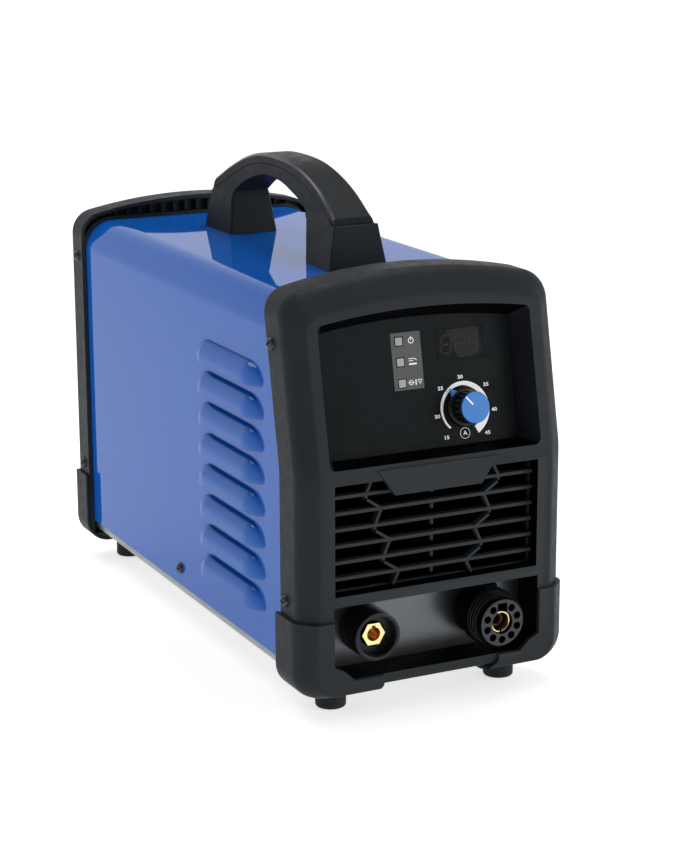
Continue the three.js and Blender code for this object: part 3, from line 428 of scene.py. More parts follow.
# Glossier ridge edges for the grip; their slightly lighter colour is a painted highlight.
HANDLE_EDGE_HIGHLIGHT = finish_of(
    "handle_edge_painted_highlight", (0.019, 0.022, 0.025), 0.22, specular=0.55, grain=0.03, variation=0.08, edge_highlight=0.1
)
BLACK = finish_of("black_plastic", (0.004, 0.0043, 0.005), 0.34, specular=0.25, grain=0.08, edge_highlight=0.2)
SOCKET = finish_of(
    "socket_plastic", (0.03, 0.034, 0.0375), 0.42, specular=0.18, grain=0.08, variation=0.08, edge_highlight=0.2
)
GROUND_BODY = finish_of(
    "ground_socket_plastic", (0.006, 0.007, 0.0085), 0.32, specular=0.25, grain=0.06, variation=0.1
)
PLATE = finish_of(
    "recess_plate", (0.115, 0.122, 0.129), 0.3, metallic=1.0, variation=0.04, roughness_spread=0.015
)
# Near black: painted shade in the louvre openings and behind the grille; also the squares round the indicator
# lenses.
BLACK_AND_PAINTED_SHADE = finish_of("black_and_painted_shade", (0.0008, 0.0008, 0.0008), 0.9, specular=0.0, grain=0.2)
PANEL = finish_of("panel_film", (0.0066, 0.0088, 0.0102), 0.5, specular=0.06, grain=0.06, grain_scale=5000)
STRIP = finish_of("panel_strip", (0.085, 0.088, 0.09), 0.55, specular=0.2, variation=0.05)
PRINT = finish_of("panel_print", (0.97, 0.97, 0.98), 0.6, specular=0.2, variation=0.03)
LENS = finish_of("led_lens", (0.3, 0.305, 0.31), 0.35, specular=0.5, variation=0.08, grain=0.1)
WINDOW = finish_of("smoked_window", (0.0055, 0.0066, 0.0074), 0.25, specular=0.06, variation=0.3, patch=60)
SEGMENT = finish_of("display_segment", (0.0108, 0.0094, 0.0092), 0.3, specular=0.15, variation=0.1)
BLUE = finish_of(
    "blue_paint", (0.006, 0.096, 0.425), 0.5, specular=0.0, coat=0.66, coat_roughness=0.03,
    variation=0.03, patch=5, roughness_spread=0.02,
)
KNOB_BLUE = finish_of("blue_plastic", (0.047, 0.195, 0.53), 0.4, specular=0.2, variation=0.05, grain=0.08)
# Painted shade: the knob cap's rim, a darker copy of its blue.
KNOB_RIM_PAINTED_SHADE = finish_of("blue_plastic_painted_shade", (0.006, 0.03, 0.13), 0.4, specular=0.2, variation=0.05)
ZINC = finish_of(
    "zinc_sheet", (0.28, 0.285, 0.285), 0.38, metallic=0.85, variation=0.14, patch=40, grain=0.1,
    stretch=(1, 0.2, 1),
)
STEEL = finish_of("steel", (0.45, 0.46, 0.47), 0.3, metallic=1.0, variation=0.1, patch=60, grain=0.08)
DARK_SCREW = finish_of(
    "dark_screw", (0.004, 0.004, 0.0045), 0.25, specular=0.5, variation=0.2, patch=200, edge_highlight=0.35,
    edge_highlight_colour=(0.08, 0.075, 0.07),
)
BRASS = finish_of("brass", (0.95, 0.75, 0.36), 0.18, metallic=1.0, variation=0.08, patch=90, grain=0.05)
ALUMINIUM = finish_of("aluminium", (0.6, 0.61, 0.62), 0.35, metallic=1.0, variation=0.08, patch=30)
BRASS_BORE = finish_of("brass_bore", (0.42, 0.19, 0.06), 0.3, metallic=1.0, variation=0.2, patch=120)
# Painted shade: the floor at the bottom of the torch socket's bore, in a dark brown.
BORE_PAINTED_SHADE = finish_of("bore_painted_shade", (0.045, 0.018, 0.007), 0.5, variation=0.3, patch=150)
COPPER = finish_of("copper", (0.5, 0.2, 0.08), 0.35, metallic=0.9, variation=0.15, patch=120)
BOARD = finish_of("circuit_board", (0.02, 0.12, 0.05), 0.4, variation=0.2, patch=60)
BLACK_PAINT = finish_of("black_paint", (0.01, 0.0105, 0.011), 0.4, specular=0.3, grain=0.15, edge_highlight=0.2)
RUBBER = finish_of("rubber", (0.012, 0.012, 0.013), 0.7, specular=0.2, grain=0.25, grain_scale=1800)

MATERIALS = {
    "moulded_charcoal": CHARCOAL, "handle_plastic": HANDLE, "black_plastic": BLACK,
    "blue_plastic": KNOB_BLUE, "panel_film": PANEL, "smoked_window": WINDOW, "led_lens": LENS,
    "blue_paint": BLUE, "black_paint": BLACK_PAINT, "zinc_sheet": ZINC, "steel": STEEL,
    "dark_screw": DARK_SCREW, "brass": BRASS, "aluminium": ALUMINIUM, "copper": COPPER,
    "circuit_board": BOARD, "rubber": RUBBER,
}
SLOT_OF = {part["node"]: part["material_slot"] for part in frame["record"]["subparts"]}
for name, shown in frame["nodes"].items():
    shown.data.materials.clear()
    shown.data.materials.append(PLATE if name == "connector_plate" else MATERIALS[SLOT_OF[name]])


def rounded_node(name, width, body="housing", segments=2):
    """A CAD node again, with its edges rounded."""
    mesh = frame["nodes"][name].data.copy()
    mesh.transform(TO_FRAME.inverted())
    part = working(mesh)
    slot = SLOT_OF[name]
    softened(part, width, segments=segments)
    return publish(part, "soft_" + name, body, MATERIALS[slot], [name])


# ---------------------------------------------------------------- front bezel
def frame_outline(grow):
    return crowned(
        HALF_WIDTH + grow, FRAME_BOTTOM - grow, FRAME_TOP + grow, CROWN_RADIUS, 20 + grow, 18 + grow
    )


def face_outline(grow):
    return crowned(97.5 + grow, FRAME_BOTTOM + 4 - grow, 309.5 + grow, CROWN_RADIUS, 13 + grow, 13 + grow)


def mixed(first, second, share):
    return [(a + (c - a) * share, b + (d - b) * share) for (a, b), (c, d) in zip(first, second)]


def bezel_form(grow, rear, soft=True):
    """The outer form of the bezel, with soft edges on both sides of its wide chamfer."""
    face, body = face_outline(grow), frame_outline(grow)
    front = -grow
    edge = CHAMFER_DEPTH - 0.4 * grow
    if soft:
        profile = []
        for corner, start, end in (
            ((0, front), (-0.12, front), (0.2, front + 0.2 * (edge - front))),
            ((1, edge), (0.62, front + 0.62 * (edge - front)), (1, edge + 6)),
        ):
            for i in range(7):
                t = i / 6
                profile.append([
                    (1 - t) ** 2 * start[k] + 2 * t * (1 - t) * corner[k] + t * t * end[k]
                    for k in (0, 1)
                ])
        profile.append((1, rear))
    else:
        profile = [(0, front), (1, edge), (1, rear)]
    return loft([[(x, y, z) for x, z in mixed(face, body, share)] for share, y in profile])


def lean_back(part):
    """Slides what is above the lean's start rearwards, with a short bend where it begins."""
    bend = 5
    work = bmesh.new()
    work.from_mesh(part.data)
    for step in range(-3, 4):
        bmesh.ops.bisect_plane(
            work, geom=work.verts[:] + work.edges[:] + work.faces[:],
            plane_co=(0, 0, LEAN_START + bend * step / 3), plane_no=(0, 0, 1), dist=1e-4,
        )
    for v in work.verts:
        rise = v.co.z - LEAN_START
        if rise > bend:
            v.co.y += LEAN_SLOPE * rise
        elif rise > -bend:
            v.co.y += LEAN_SLOPE * (rise + bend) ** 2 / (4 * bend)
    work.to_mesh(part.data)
    work.free()
    return part


CONTROL_DRAFT_END = 18  # depth where the recess's sloping sides end


def control_outline(depth, grow=0):
    draft = depth / CONTROL_DRAFT_END
    return crowned(
        88 - 8 * draft + grow, 4.6 + 5.6 * draft - grow, 116 - 6.8 * draft + grow,
        560, 5 + grow, 5 + grow, 8,
    )


def control_recess(start, end, grow):
    floor_outline = control_outline(CONTROL_DRAFT_END, grow)
    rings = [(start, control_outline(start, grow)), (CONTROL_DRAFT_END, floor_outline), (end, floor_outline)]
    return loft([[(x, y, z) for x, z in outline] for y, outline in rings], LEAN)


CONNECTOR_OUTLINE = rounded([
    (-86.5, 88.6), (-86.5, 43.5, 2), (-78, 39.2, 4), (-70, 31.6, 2),
    (70, 31.6, 2), (78, 39.2, 4), (86.5, 43.5, 2), (86.5, 88.6),
])


def front_bezel():
    shell = cut(lean_back(bezel_form(0, BEZEL_DEPTH)), lean_back(bezel_form(-WALL, BEZEL_DEPTH + 1, False)))
    shell = join(
        shell, control_recess(1, PANEL_DEPTH - GAP, 2.5), block(-89, 89, 1, PLATE_FRONT - GAP, 28.5, 91),
        block(-87.5, 87.5, 1, 12, 94, 183),
    )
    shell = cut(
        shell, control_recess(-3, 26, 0), along_y(CONNECTOR_OUTLINE, -5, 32),
        block(-85, 85, -5, 20, 96.5, 180.3),
    )
    visor = along_y([(-50, 188), (-36.2, 168), (36.2, 168), (50, 188)], -0.8, 5)
    made = softened(join(shell, visor), 1.1)
    # The recesses' faces are painted near black as shade; the control recess's sideways walls get a slightly
    # lighter painted shade.
    for face in made.data.polygons:
        on_lean = on_face(face.center)
        in_control = 1.3 < on_lean.y < 21 and abs(on_lean.x) < 89 and 3 < on_lean.z < 115.5
        in_lower = 1.6 < face.center.y < 30 and abs(face.center.x) < 87.4 and 30 < face.center.z < 183
        sideways = abs(face.normal.x) > 0.5
        face.material_index = (2 if sideways and in_control else 1) if in_control or in_lower else 0
    return made


publish(front_bezel(), "bezel_moulding", "housing", (CHARCOAL, RECESS_PAINTED_SHADE, RECESS_PAINTED_SHADE_SIDE),
        ["front_bezel"])


# ---------------------------------------------------------------- front grille
BAR_PITCH = 12.4
BAR_TOP = 169.3
BAR_Y = (8, 14)
GRILLE_TOP = 180.3
GRILLE_BOTTOM = 96.5


def rib(start, end, thickness=2.0):
    """A round-ended web between two points of the grille's plane."""
    a, b = Vector(start), Vector(end)
    turn = math.degrees(math.atan2(b.y - a.y, b.x - a.x))
    outline = arc(b.x, b.y, thickness / 2, turn - 90, turn + 90, 6)
    outline += arc(a.x, a.y, thickness / 2, turn + 90, turn + 270, 6)
    return along_y(outline, BAR_Y[0] + 0.15, BAR_Y[1])


def front_grille():
    parts = []
    for i in range(6):
        z = BAR_TOP - i * BAR_PITCH
        parts.append(along_x(rounded_rectangle(BAR_Y[0], z - 1.4, BAR_Y[1], z + 1.4, 0.5, 3), -84.7, 84.7))
        parts.append(block(-0.9, 0.9, BAR_Y[0] + 2, BAR_Y[1], z - 6, z))
    for side in (-1, 1):
        zigzag = [(51, GRILLE_TOP - 1.2), (55.6, BAR_TOP)]
        for turn in range(3):
            z = BAR_TOP - 2 * BAR_PITCH * turn
            zigzag += [(55.6 - 7.2 * turn, z), (55.6 - 7.2 * turn, z - 4), (43 - 7.4 * turn, z - BAR_PITCH)]
        zigzag.append((32.8, GRILLE_BOTTOM + 1.2))
        parts += [rib((side * a[0], a[1]), (side * b[0], b[1])) for a, b in zip(zigzag, zigzag[1:]) if a != b]
    surround = cut(block(-88, 88, 12.3, 15, 93.5, 183.5), block(-84, 84, 10, 20, 97.5, 179.5))
    return merged(surround, *parts)


publish(front_grille(), "grille_bars", "housing", CHARCOAL, ["front_grille"])


# ---------------------------------------------------------------- corner bumpers
def bumper_outline(side, top):
    toe = ([(46, 31.3), (46, 20.8, 5), (52, 20.8), (60, 16.5), (60, 10)] if side < 0
           else [(52, 31.3), (52, 26, 4), (43, 20.5, 4), (42, 10)])
    corners = [*toe, (130, 10), (130, top), (86.8, top), (86.8, 43.3, 2), (78.3, 39, 4), (70.3, 31.3, 2)]
    return rounded([(side * c[0], *c[1:]) for c in corners])


for side, word in ((-1, "left"), (1, "right")):
    skin = cut(bezel_form(BUMPER, 42), bezel_form(GAP, 43))
    cap = common(skin, along_y(bumper_outline(side, 78), -10, 43))
    publish(softened(cap, 0.9), f"front_bumper_{word}", "housing", CHARCOAL,
            [f"bumper_front_{word}"])
    skin = cut(
        along_y(frame_outline(BUMPER), REAR_FRONT_EDGE, REAR_END + BUMPER),
        along_y(frame_outline(GAP), REAR_FRONT_EDGE - 1, REAR_END + GAP),
    )
    cap = common(skin, along_y(bumper_outline(side, 80.5), REAR_FRONT_EDGE - 1, REAR_END + 10))
    publish(softened(cap, 0.9), f"rear_bumper_{word}", "housing", CHARCOAL,
            [f"bumper_rear_{word}"])


# ---------------------------------------------------------------- sheet metal cover
LOUVRE_COUNT = 8
LOUVRE_PITCH = 24.9
LOUVRE_TOP = 257
LOUVRE_HEIGHT = 17
LOUVRE_BULGE = 8
LOUVRE_Y = (74.8, 193)
LOUVRE_FRONT = 25  # length of the domed front end
LOUVRE_REAR = 18


def u_profile(half, top, bottom, radius, thickness):
    inner, inner_radius = half - thickness, radius - thickness
    return (
        [(-inner, bottom), (-half, bottom)]
        + arc(-(half - radius), top - radius, radius, 180, 90, 16)
        + arc(half - radius, top - radius, radius, 90, 0, 16)
        + [(half, bottom), (inner, bottom)]
        + arc(inner - inner_radius, top - thickness - inner_radius, inner_radius, 0, 90, 16)
        + arc(-(inner - inner_radius), top - thickness - inner_radius, inner_radius, 90, 180, 16)
    )


def louvre_skin(out, top, shrink):
    """Rows of points over one hood on the +x side, from its top edge to its lower lip."""
    y0, y1 = LOUVRE_Y[0] + LOUVRE_FRONT, LOUVRE_Y[1] - LOUVRE_REAR
    rows = []
    for i in range(19):
        v = (i / 18) ** 1.3
        round_off = math.sqrt(1 - (1 - v) ** 2) - 0.1 * max(0, (v - 0.8) / 0.2) ** 2.5
        swell = (LOUVRE_BULGE - shrink) * (1 - (1 - v) ** 2.8) ** 0.6
        height = top - shrink * (1 - v) - LOUVRE_HEIGHT * v
        dome = [1 - k / 14 for k in range(15)]
        first = [(y0 - (LOUVRE_FRONT - shrink) * round_off * t, swell * (1 - t * t) ** 0.85) for t in dome]
        turns = [math.radians(90 * k / 10) for k in range(11)]
        last = [(y1 + (LOUVRE_REAR - shrink) * round_off * math.cos(a), swell * math.sin(a))
                for a in reversed(turns)]
        middle = [(y0 + (y1 - y0) * k / 12, swell) for k in range(1, 12)]
        rows.append([(out + h, y, height) for y, h in first + middle + last])
    return rows


def louvre(side, top):
    """A pressed hood, open along its lower lip, with its thickness turned inwards."""
    outer = louvre_skin(COVER_HALF - 0.05, top, 0)
    inner = louvre_skin(COVER_HALF - 0.05, top, 1.3)
    rows = outer + inner[::-1]
    flip = Matrix.Scale(side, 4, (1, 0, 0))
    return loft([*rows, rows[0]], flip, capped=False, closed=False)


def cover():
    sheet = along_y(
        u_profile(COVER_HALF, COVER_TOP, COVER_BOTTOM, COVER_RADIUS, SHEET), COVER_FRONT, COVER_REAR
    )
    hoods = [
        louvre(side, LOUVRE_TOP - i * LOUVRE_PITCH)
        for side in (-1, 1) for i in range(LOUVRE_COUNT)
    ]
    return merged(sheet, *hoods)


publish(cover(), "cover_sheet", "housing", BLUE, ["cover_shell"], smooth=30)
# Near-black blocks in the openings under the hoods: painted shade.
slot_shades = [
    block(side * (COVER_HALF - 0.5), side * (COVER_HALF + 0.25), LOUVRE_Y[0] + 8, LOUVRE_Y[1] - 8,
          LOUVRE_TOP - i * LOUVRE_PITCH - 16.6, LOUVRE_TOP - i * LOUVRE_PITCH - 10)
    for side in (-1, 1) for i in range(LOUVRE_COUNT)
]
publish(merged(*slot_shades), "louvre_slot_painted_shade", "housing", BLACK_AND_PAINTED_SHADE)

# ---------------------------------------------------------------- base tray
TRAY_HALF = COVER_HALF - SHEET - GAP
TRAY_BOTTOM = 24.5
tray = rounded([
    (-TRAY_HALF, 62), (-TRAY_HALF, TRAY_BOTTOM, 12), (TRAY_HALF, TRAY_BOTTOM, 12), (TRAY_HALF, 62),
    (TRAY_HALF - SHEET, 62), (TRAY_HALF - SHEET, TRAY_BOTTOM + SHEET, 10.5),
    (-TRAY_HALF + SHEET, TRAY_BOTTOM + SHEET, 10.5), (-TRAY_HALF + SHEET, 62),
], 10)
publish(
    along_y(tray, BEZEL_DEPTH + GAP, REAR_FRONT_EDGE - GAP), "tray_sheet", "housing", ZINC,
    ["base_tray"],
)


# ---------------------------------------------------------------- rear frame
def rear_frame():
    body = along_y(frame_outline(0), REAR_FRONT_EDGE, REAR_END)
    rear_pocket = along_y(frame_outline(-WALL), REAR_WEB, REAR_END + 1)
    seat = along_y(
        rounded([(-COVER_HALF - GAP, 25), (COVER_HALF + GAP, 25),
                 (COVER_HALF + GAP, COVER_TOP + GAP, COVER_RADIUS),
                 (-COVER_HALF - GAP, COVER_TOP + GAP, COVER_RADIUS)], 14),
        REAR_FRONT_EDGE - 1, COVER_REAR + GAP,
    )
    opening = along_y(rounded_rectangle(-97, 33, 97, 302, 14), 440, 480)
    pocket = cut(
        along_y(frame_outline(-WALL), REAR_FRONT_EDGE - 1, REAR_WEB - WALL),
        along_y(rounded_rectangle(-110, 0, 110, COVER_TOP + 2.6, 27, 12), 440, 480),
    )
    ribs = [
        block(x - 0.35, x + 0.35, REAR_FRONT_EDGE + 3, REAR_WEB - 1, COVER_TOP + 1, 322 - abs(x) * 0.06)
        for x in range(-88, 89, 11)
    ]
    return merged(softened(cut(body, rear_pocket, seat, opening, pocket), 0.8), *ribs)


publish(rear_frame(), "rear_moulding", "housing", CHARCOAL, ["rear_frame"])

# ---------------------------------------------------------------- carrying handle
GRIP_RIDGE = [
    (138, 349.5), (169, 367.4), (199, 378.6), (230, 384),
    (275, 384.3), (307, 378.7), (339, 367), (371.5, 350.5),
]
GRIP_SEAM = [
    (139.5, 343.8), (181, 363.7), (214, 373.4), (252, 376.9), (288, 374.2), (320, 365.1), (370, 343.8),
]
SEAM_GAP = 0.4
GRIP_UNDER = [
    (188, 342.7), (199.5, 352.6), (221, 360), (245, 365.6), (276, 365.6), (308, 357.4), (330, 346),
]


LEG_TOP = 346
LEG_HALF = 21.6  # half the width of a leg at its foot
GRIP_HALF = 17
GRIP_WAIST = 2.2


def handle_half(y, z):
    """Half the handle's width: tapering up to the grip, which is a little waisted."""
    if z < LEG_TOP:
        return LEG_HALF - (LEG_HALF - GRIP_HALF) * (z - COVER_TOP) / (LEG_TOP - COVER_TOP)
    return GRIP_HALF - GRIP_WAIST * math.sin(math.pi * max(0, min(1, (y - 138) / 233)))


def handle_section(outer, inner, outer_radius, inner_radius, flare=0, steps=5):
    """A ring across the handle, between a point of its outer line and one of its inner line."""
    top, low = Vector(outer), Vector(inner)
    height = (top - low).length
    up = (top - low) / height
    wide, narrow = handle_half(*inner), handle_half(*outer) + flare
    outer_radius = min(outer_radius, 0.7 * height)
    corners = rounded([
        (-wide, 0, inner_radius), (wide, 0, inner_radius),
        (narrow, height, outer_radius), (-narrow, height, outer_radius),
    ], steps)
    return [(x, *(low + up * rise)) for x, rise in corners]


def handle_grip():
    """The grip's cap: its ridge rolls over into both end faces, above the seam."""
    front_roll = rounded([(138.8, 343.4), (138.8, 349, 2.6), GRIP_RIDGE[1]], 6)[1:-1]
    rear_roll = rounded([GRIP_RIDGE[-2], (371.6, 352, 8), (371.6, 342)], 8)[1:-1]
    ridge = [*front_roll, *spline([front_roll[-1], *GRIP_RIDGE[1:-1], rear_roll[0]], 46)[1:-1], *rear_roll]
    seam_y, seam_z = zip(*spline(GRIP_SEAM, 80))
    rings = [handle_section(p, (p[0], np.interp(p[0], seam_y, seam_z) + SEAM_GAP), 3.4, 0) for p in ridge]
    made = loft(rings)
    # The rounded ridge edges take the glossier finish, whose lighter colour is a painted highlight.
    for face in made.data.polygons:
        face.material_index = 1 if 0.3 < abs(face.normal.x) < 0.93 else 0
    return made


def handle_body():
    """The legs and the arch: the front leg is the wider one and stands proud of the cap's end."""
    seam, under = spline(GRIP_SEAM, 40), spline(GRIP_UNDER, 40)
    outer = [(129.5, 310.3), (131.6, 325.6), (133.8, 343.6), (134.8, 344.5), *seam,
             (373, 343.9), (375.8, 340), (378, 332), (382, 310.3)]
    inner = [(180.3, 310.3), (182.4, 318.6), (184, 325), (184.5, 327), *under,
             (330.9, 341), (330.5, 336), (328.6, 326), (326, 310.3)]
    radii = [1.3, 1.3, 1.0, 0.8, *[0.4] * len(seam), 0.6, 0.8, 1.3, 1.3]
    rings = []
    for a, b, radius in zip(outer, inner, radii):
        flare = 1.8 * max(0, min(1, (152 - a[0]) / 16)) * (2 - (a[1] - COVER_TOP) / 34)
        rings.append(handle_section(a, b, radius, 2.0, flare))
    return loft(rings)


publish(handle_body(), "handle_arch", "housing", HANDLE, ["handle_body"], smooth=38)
publish(handle_grip(), "handle_cap", "housing", (HANDLE, HANDLE_EDGE_HIGHLIGHT),
        ["handle_grip"], smooth=38)

# ---------------------------------------------------------------- feet
FOOT_HEIGHT = FRAME_BOTTOM - BUMPER - GAP
STAND = Matrix.Rotation(math.pi / 2, 4, "X")
foot_profile = [
    (0, 0), (9.9, 0), (10.9, 0.35), (11.6, 1.2), (11.75, 2.2), (11.75, FOOT_HEIGHT), (0, FOOT_HEIGHT),
]
for end in ("front", "rear"):
    for word in ("left", "right"):
        name = f"foot_{end}_{word}"
        middle = centre(name)
        place = Matrix.Translation((middle.x, middle.y, 0)) @ STAND
        publish(lathe(foot_profile, 40, place), "rubber_" + name, "housing", RUBBER, [name])

# ---------------------------------------------------------------- current knob
knob_centre = on_face(centre("knob_cap"))
KNOB_X, KNOB_UP = knob_centre.x, knob_centre.z
KNOB_LENGTH = PANEL_DEPTH - KNOB_TIP - 0.6
KNOB_REST = -41  # where the pointer stands at rest, clockwise from straight up
KNOB_AXIS = LEAN @ Matrix.Translation((KNOB_X, KNOB_TIP, KNOB_UP))
KNOB_RIBS = 18
KNOB_SKIRT = 15.2
POINTER_TIP = 20
SPINDLE_ROOM = 3.3  # radius of the bore over the spindle
SPINDLE_ROOM_START = 6
BUSH_ROOM = 6  # radius of the hollow over the potentiometer's bush
BUSH_ROOM_DEPTH = 2.6


def knob_body():
    """The ribbed grip and its skirt, bored from behind for the spindle and its bush."""
    steps = KNOB_RIBS * 14
    rings = []
    for radius, y, depth in ((4, 2.4, 0), (11.5, 2.4, 0.4), (12.1, 2.9, 1.2), (12.4, 12.4, 1.2),
                             (12.6, KNOB_LENGTH - 2.0, 1.2)):
        ring = []
        for i in range(steps):
            a = 2 * math.pi * i / steps
            groove = depth * min(1, max(0, 1.6 * math.cos(KNOB_RIBS * a) + 0.3))
            ring.append(((radius - groove) * math.cos(a), y, (radius - groove) * math.sin(a)))
        rings.append(ring)
    low = KNOB_LENGTH
    shoulder = low - BUSH_ROOM_DEPTH
    hollow = lathe(
        [(0, SPINDLE_ROOM_START), (SPINDLE_ROOM, SPINDLE_ROOM_START), (SPINDLE_ROOM, shoulder),
         (BUSH_ROOM, shoulder), (BUSH_ROOM, low + 1), (0, low + 1)],
        48, KNOB_AXIS,
    )
    grip = cut(loft(rings, KNOB_AXIS), hollow)
    skirt = lathe(
        [(BUSH_ROOM, low - 2.4), (KNOB_SKIRT - 1.8, low - 2.4), (KNOB_SKIRT - 0.5, low - 1.8),
         (KNOB_SKIRT, low - 0.9), (KNOB_SKIRT, low), (BUSH_ROOM, low)],
        72, KNOB_AXIS,
    )
    return merged(grip, skirt)


def on_knob(outline, y0, y1):
    turn = Matrix.Rotation(math.radians(KNOB_REST), 4, "Y")
    return along_y(outline, y0, y1, KNOB_AXIS @ turn)


def knob_cap():
    """The blue end cap; its rim is painted a darker blue, as shade."""
    profile = [(0, 0), (11.2, 0), (11.75, 0.15), (11.95, 0.5), (11.95, 2.2), (0, 2.2)]
    made = lathe(profile, 72, KNOB_AXIS)
    for face in made.data.polygons:
        face.material_index = 1 if (KNOB_AXIS.inverted() @ face.center).y > 0.2 else 0
    return made


publish(knob_body(), "knob_grip", "current_knob", BLACK, ["knob_body"], smooth=50)
publish(knob_cap(), "knob_face", "current_knob", (KNOB_BLUE, KNOB_RIM_PAINTED_SHADE), ["knob_cap"],
        smooth=50)
publish(on_knob(rounded_rectangle(-0.55, 3.0, 0.55, 11.2, 0.5, 4), -0.08, 0.5), "knob_line",
        "current_knob", PRINT)
pointer = on_knob([(-3.1, 14.4), (3.1, 14.4), (0, POINTER_TIP)], KNOB_LENGTH - 2.9, KNOB_LENGTH - 0.9)
publish(softened(pointer, 0.2), "knob_pointer", "current_knob", KNOB_BLUE)

# ---------------------------------------------------------------- control panel print
PRINT_LIFT = 0.05


def printed(outline, name, material=None, depth=PRINT_LIFT):
    part = along_y(outline, PANEL_DEPTH - depth, PANEL_DEPTH - 0.005, LEAN)
    return publish(part, name, "housing", material or PRINT)


SCALE_CENTRE = (KNOB_X - 1, KNOB_UP - 0.3)
# Clockwise from straight up, in degrees: the wedge's outer radius and its width.
SCALE_STATIONS = (
    (-138, 19.6, 1.4), (-107, 19.7, 1.8), (-80, 19.8, 2.2), (-45, 19.8, 2.6), (0, 19.9, 3.0),
    (28, 20.1, 3.9), (60, 20.6, 4.6), (90, 21.6, 5.2), (117, 22.4, 5.8), (140, 22.6, 6.0), (152, 22.9, 6.2),
)


def scale_ring():
    """The scale's wedge: a thin line that grows clockwise and ends in a point."""
    stations, radii, widths = zip(*SCALE_STATIONS)
    turns = np.linspace(stations[0], stations[-1], 97)
    outer = np.interp(turns, stations, radii)
    width = np.interp(turns, stations, widths)
    angles = np.radians(90 - turns)

    def line(radius):
        return list(zip(SCALE_CENTRE[0] + radius * np.cos(angles), SCALE_CENTRE[1] + radius * np.sin(angles)))

    return line(outer) + line(outer - width)[::-1]


def lettering(text, size, x, z, stretch=1.3):
    """Mesh plates in the shape of generic scale figures, on the panel."""
    curve = bpy.data.curves.new("figures", "FONT")
    curve.body = text
    curve.size = size
    curve.align_x = "CENTER"
    curve.align_y = "CENTER"
    curve.extrude = PRINT_LIFT / 2
    curve.offset = size * 0.022
    flat = bpy.data.objects.new("figures", curve)
    bpy.context.scene.collection.objects.link(flat)
    graph = bpy.context.evaluated_depsgraph_get()
    mesh = bpy.data.meshes.new_from_object(flat.evaluated_get(graph))
    bpy.data.objects.remove(flat)
    mesh.transform(
        LEAN @ Matrix.Translation((x, PANEL_DEPTH - PRINT_LIFT / 2 - 0.01, z))
        @ Matrix.Rotation(math.pi / 2, 4, "X") @ Matrix.Scale(stretch, 4, (1, 0, 0))
    )
    return working(mesh)


printed(scale_ring(), "scale_wedge")
# Where the figures stand, from the knob's axis.
SCALE_FIGURES = {
    "15": (-17.8, -21.1), "20": (-24.0, -4.7), "25": (-19.3, 15.9), "30": (-2.0, 22.7),
    "35": (19.4, 15.0), "40": (24.7, -4.4), "45": (17.4, -21.1),
}
figures = [
    lettering(text, 3.7, KNOB_X + x, KNOB_UP + up) for text, (x, up) in SCALE_FIGURES.items()
]
UNIT_X, UNIT_UP = KNOB_X - 1.8, KNOB_UP - 19.3
figures.append(lettering("A", 4.3, UNIT_X, UNIT_UP, 1.1))
publish(merged(*figures), "scale_figures", "housing", PRINT)


def ring_print(x, z, outer, inner, depth=PRINT_LIFT):
    return cut(
        disc(x, z, outer, PANEL_DEPTH - depth, PANEL_DEPTH - 0.005, 48, LEAN),
        disc(x, z, inner, PANEL_DEPTH - 1, PANEL_DEPTH + 1, 48, LEAN),
    )


def bar_print(x0, z0, x1, z1, width, depth=PRINT_LIFT):
    """A line of a given width between two points of the panel."""
    along = Vector((x1 - x0, z1 - z0)).normalized() * width / 2
    outline = [
        (x0 + along.y, z0 - along.x), (x1 + along.y, z1 - along.x),
        (x1 - along.y, z1 + along.x), (x0 - along.y, z0 + along.x),
    ]
    return along_y(outline, PANEL_DEPTH - depth, PANEL_DEPTH - 0.005, LEAN)


publish(ring_print(UNIT_X, UNIT_UP, 4.2, 3.85), "unit_ring", "housing", PRINT)
printed(rectangle(-20.3, 55.6, 4.3, 98.1), "indicator_strip", STRIP, 0.03)
SYMBOL_X = -3.6
SYMBOL_LIFT = 0.06
LENS_RIM = 3.6
# The symbol beside each indicator, from its middle: rings are (x, outer, inner) radii, and bars
# are (x0, z0, x1, z1, width).
SYMBOLS = {
    "led_power": ([(0, 2.3, 1.75)], [(0, 0.3, 0, 3.1, 0.6)]),
    "led_air_pressure": ([], [
        (-3.2, 2, 1.6, 2, 0.5), (1.6, 2, 3.4, 0.6, 0.5), (-3.2, 0.4, 0.4, 0.4, 0.5), (-3.2, -2, 3.2, -2, 1.1),
    ]),
    "led_fault": ([(-2.6, 1.9, 1.45)], [
        (-5, 0, -0.2, 0, 0.45), (1.3, -2, 1.3, 2, 0.9), (3, 1.7, 6.4, 1.7, 0.45),
        (3, 1.7, 4.7, -1.4, 0.45), (6.4, 1.7, 4.7, -1.4, 0.45),
    ]),
}
symbols = []
for name, (circles, bars) in SYMBOLS.items():
    lamp = on_face(centre(name))
    rim = rectangle(lamp.x - LENS_RIM, lamp.z - LENS_RIM, lamp.x + LENS_RIM, lamp.z + LENS_RIM)
    printed(rim, "rim_" + name, BLACK_AND_PAINTED_SHADE, 0.045)
    x, z = SYMBOL_X, lamp.z
    symbols += [ring_print(x + dx, z, outer, inner, SYMBOL_LIFT) for dx, outer, inner in circles]
    symbols += [
        bar_print(x + x0, z + z0, x + x1, z + z1, width, SYMBOL_LIFT) for x0, z0, x1, z1, width in bars
    ]
publish(merged(*symbols), "indicator_symbols", "housing", PRINT)


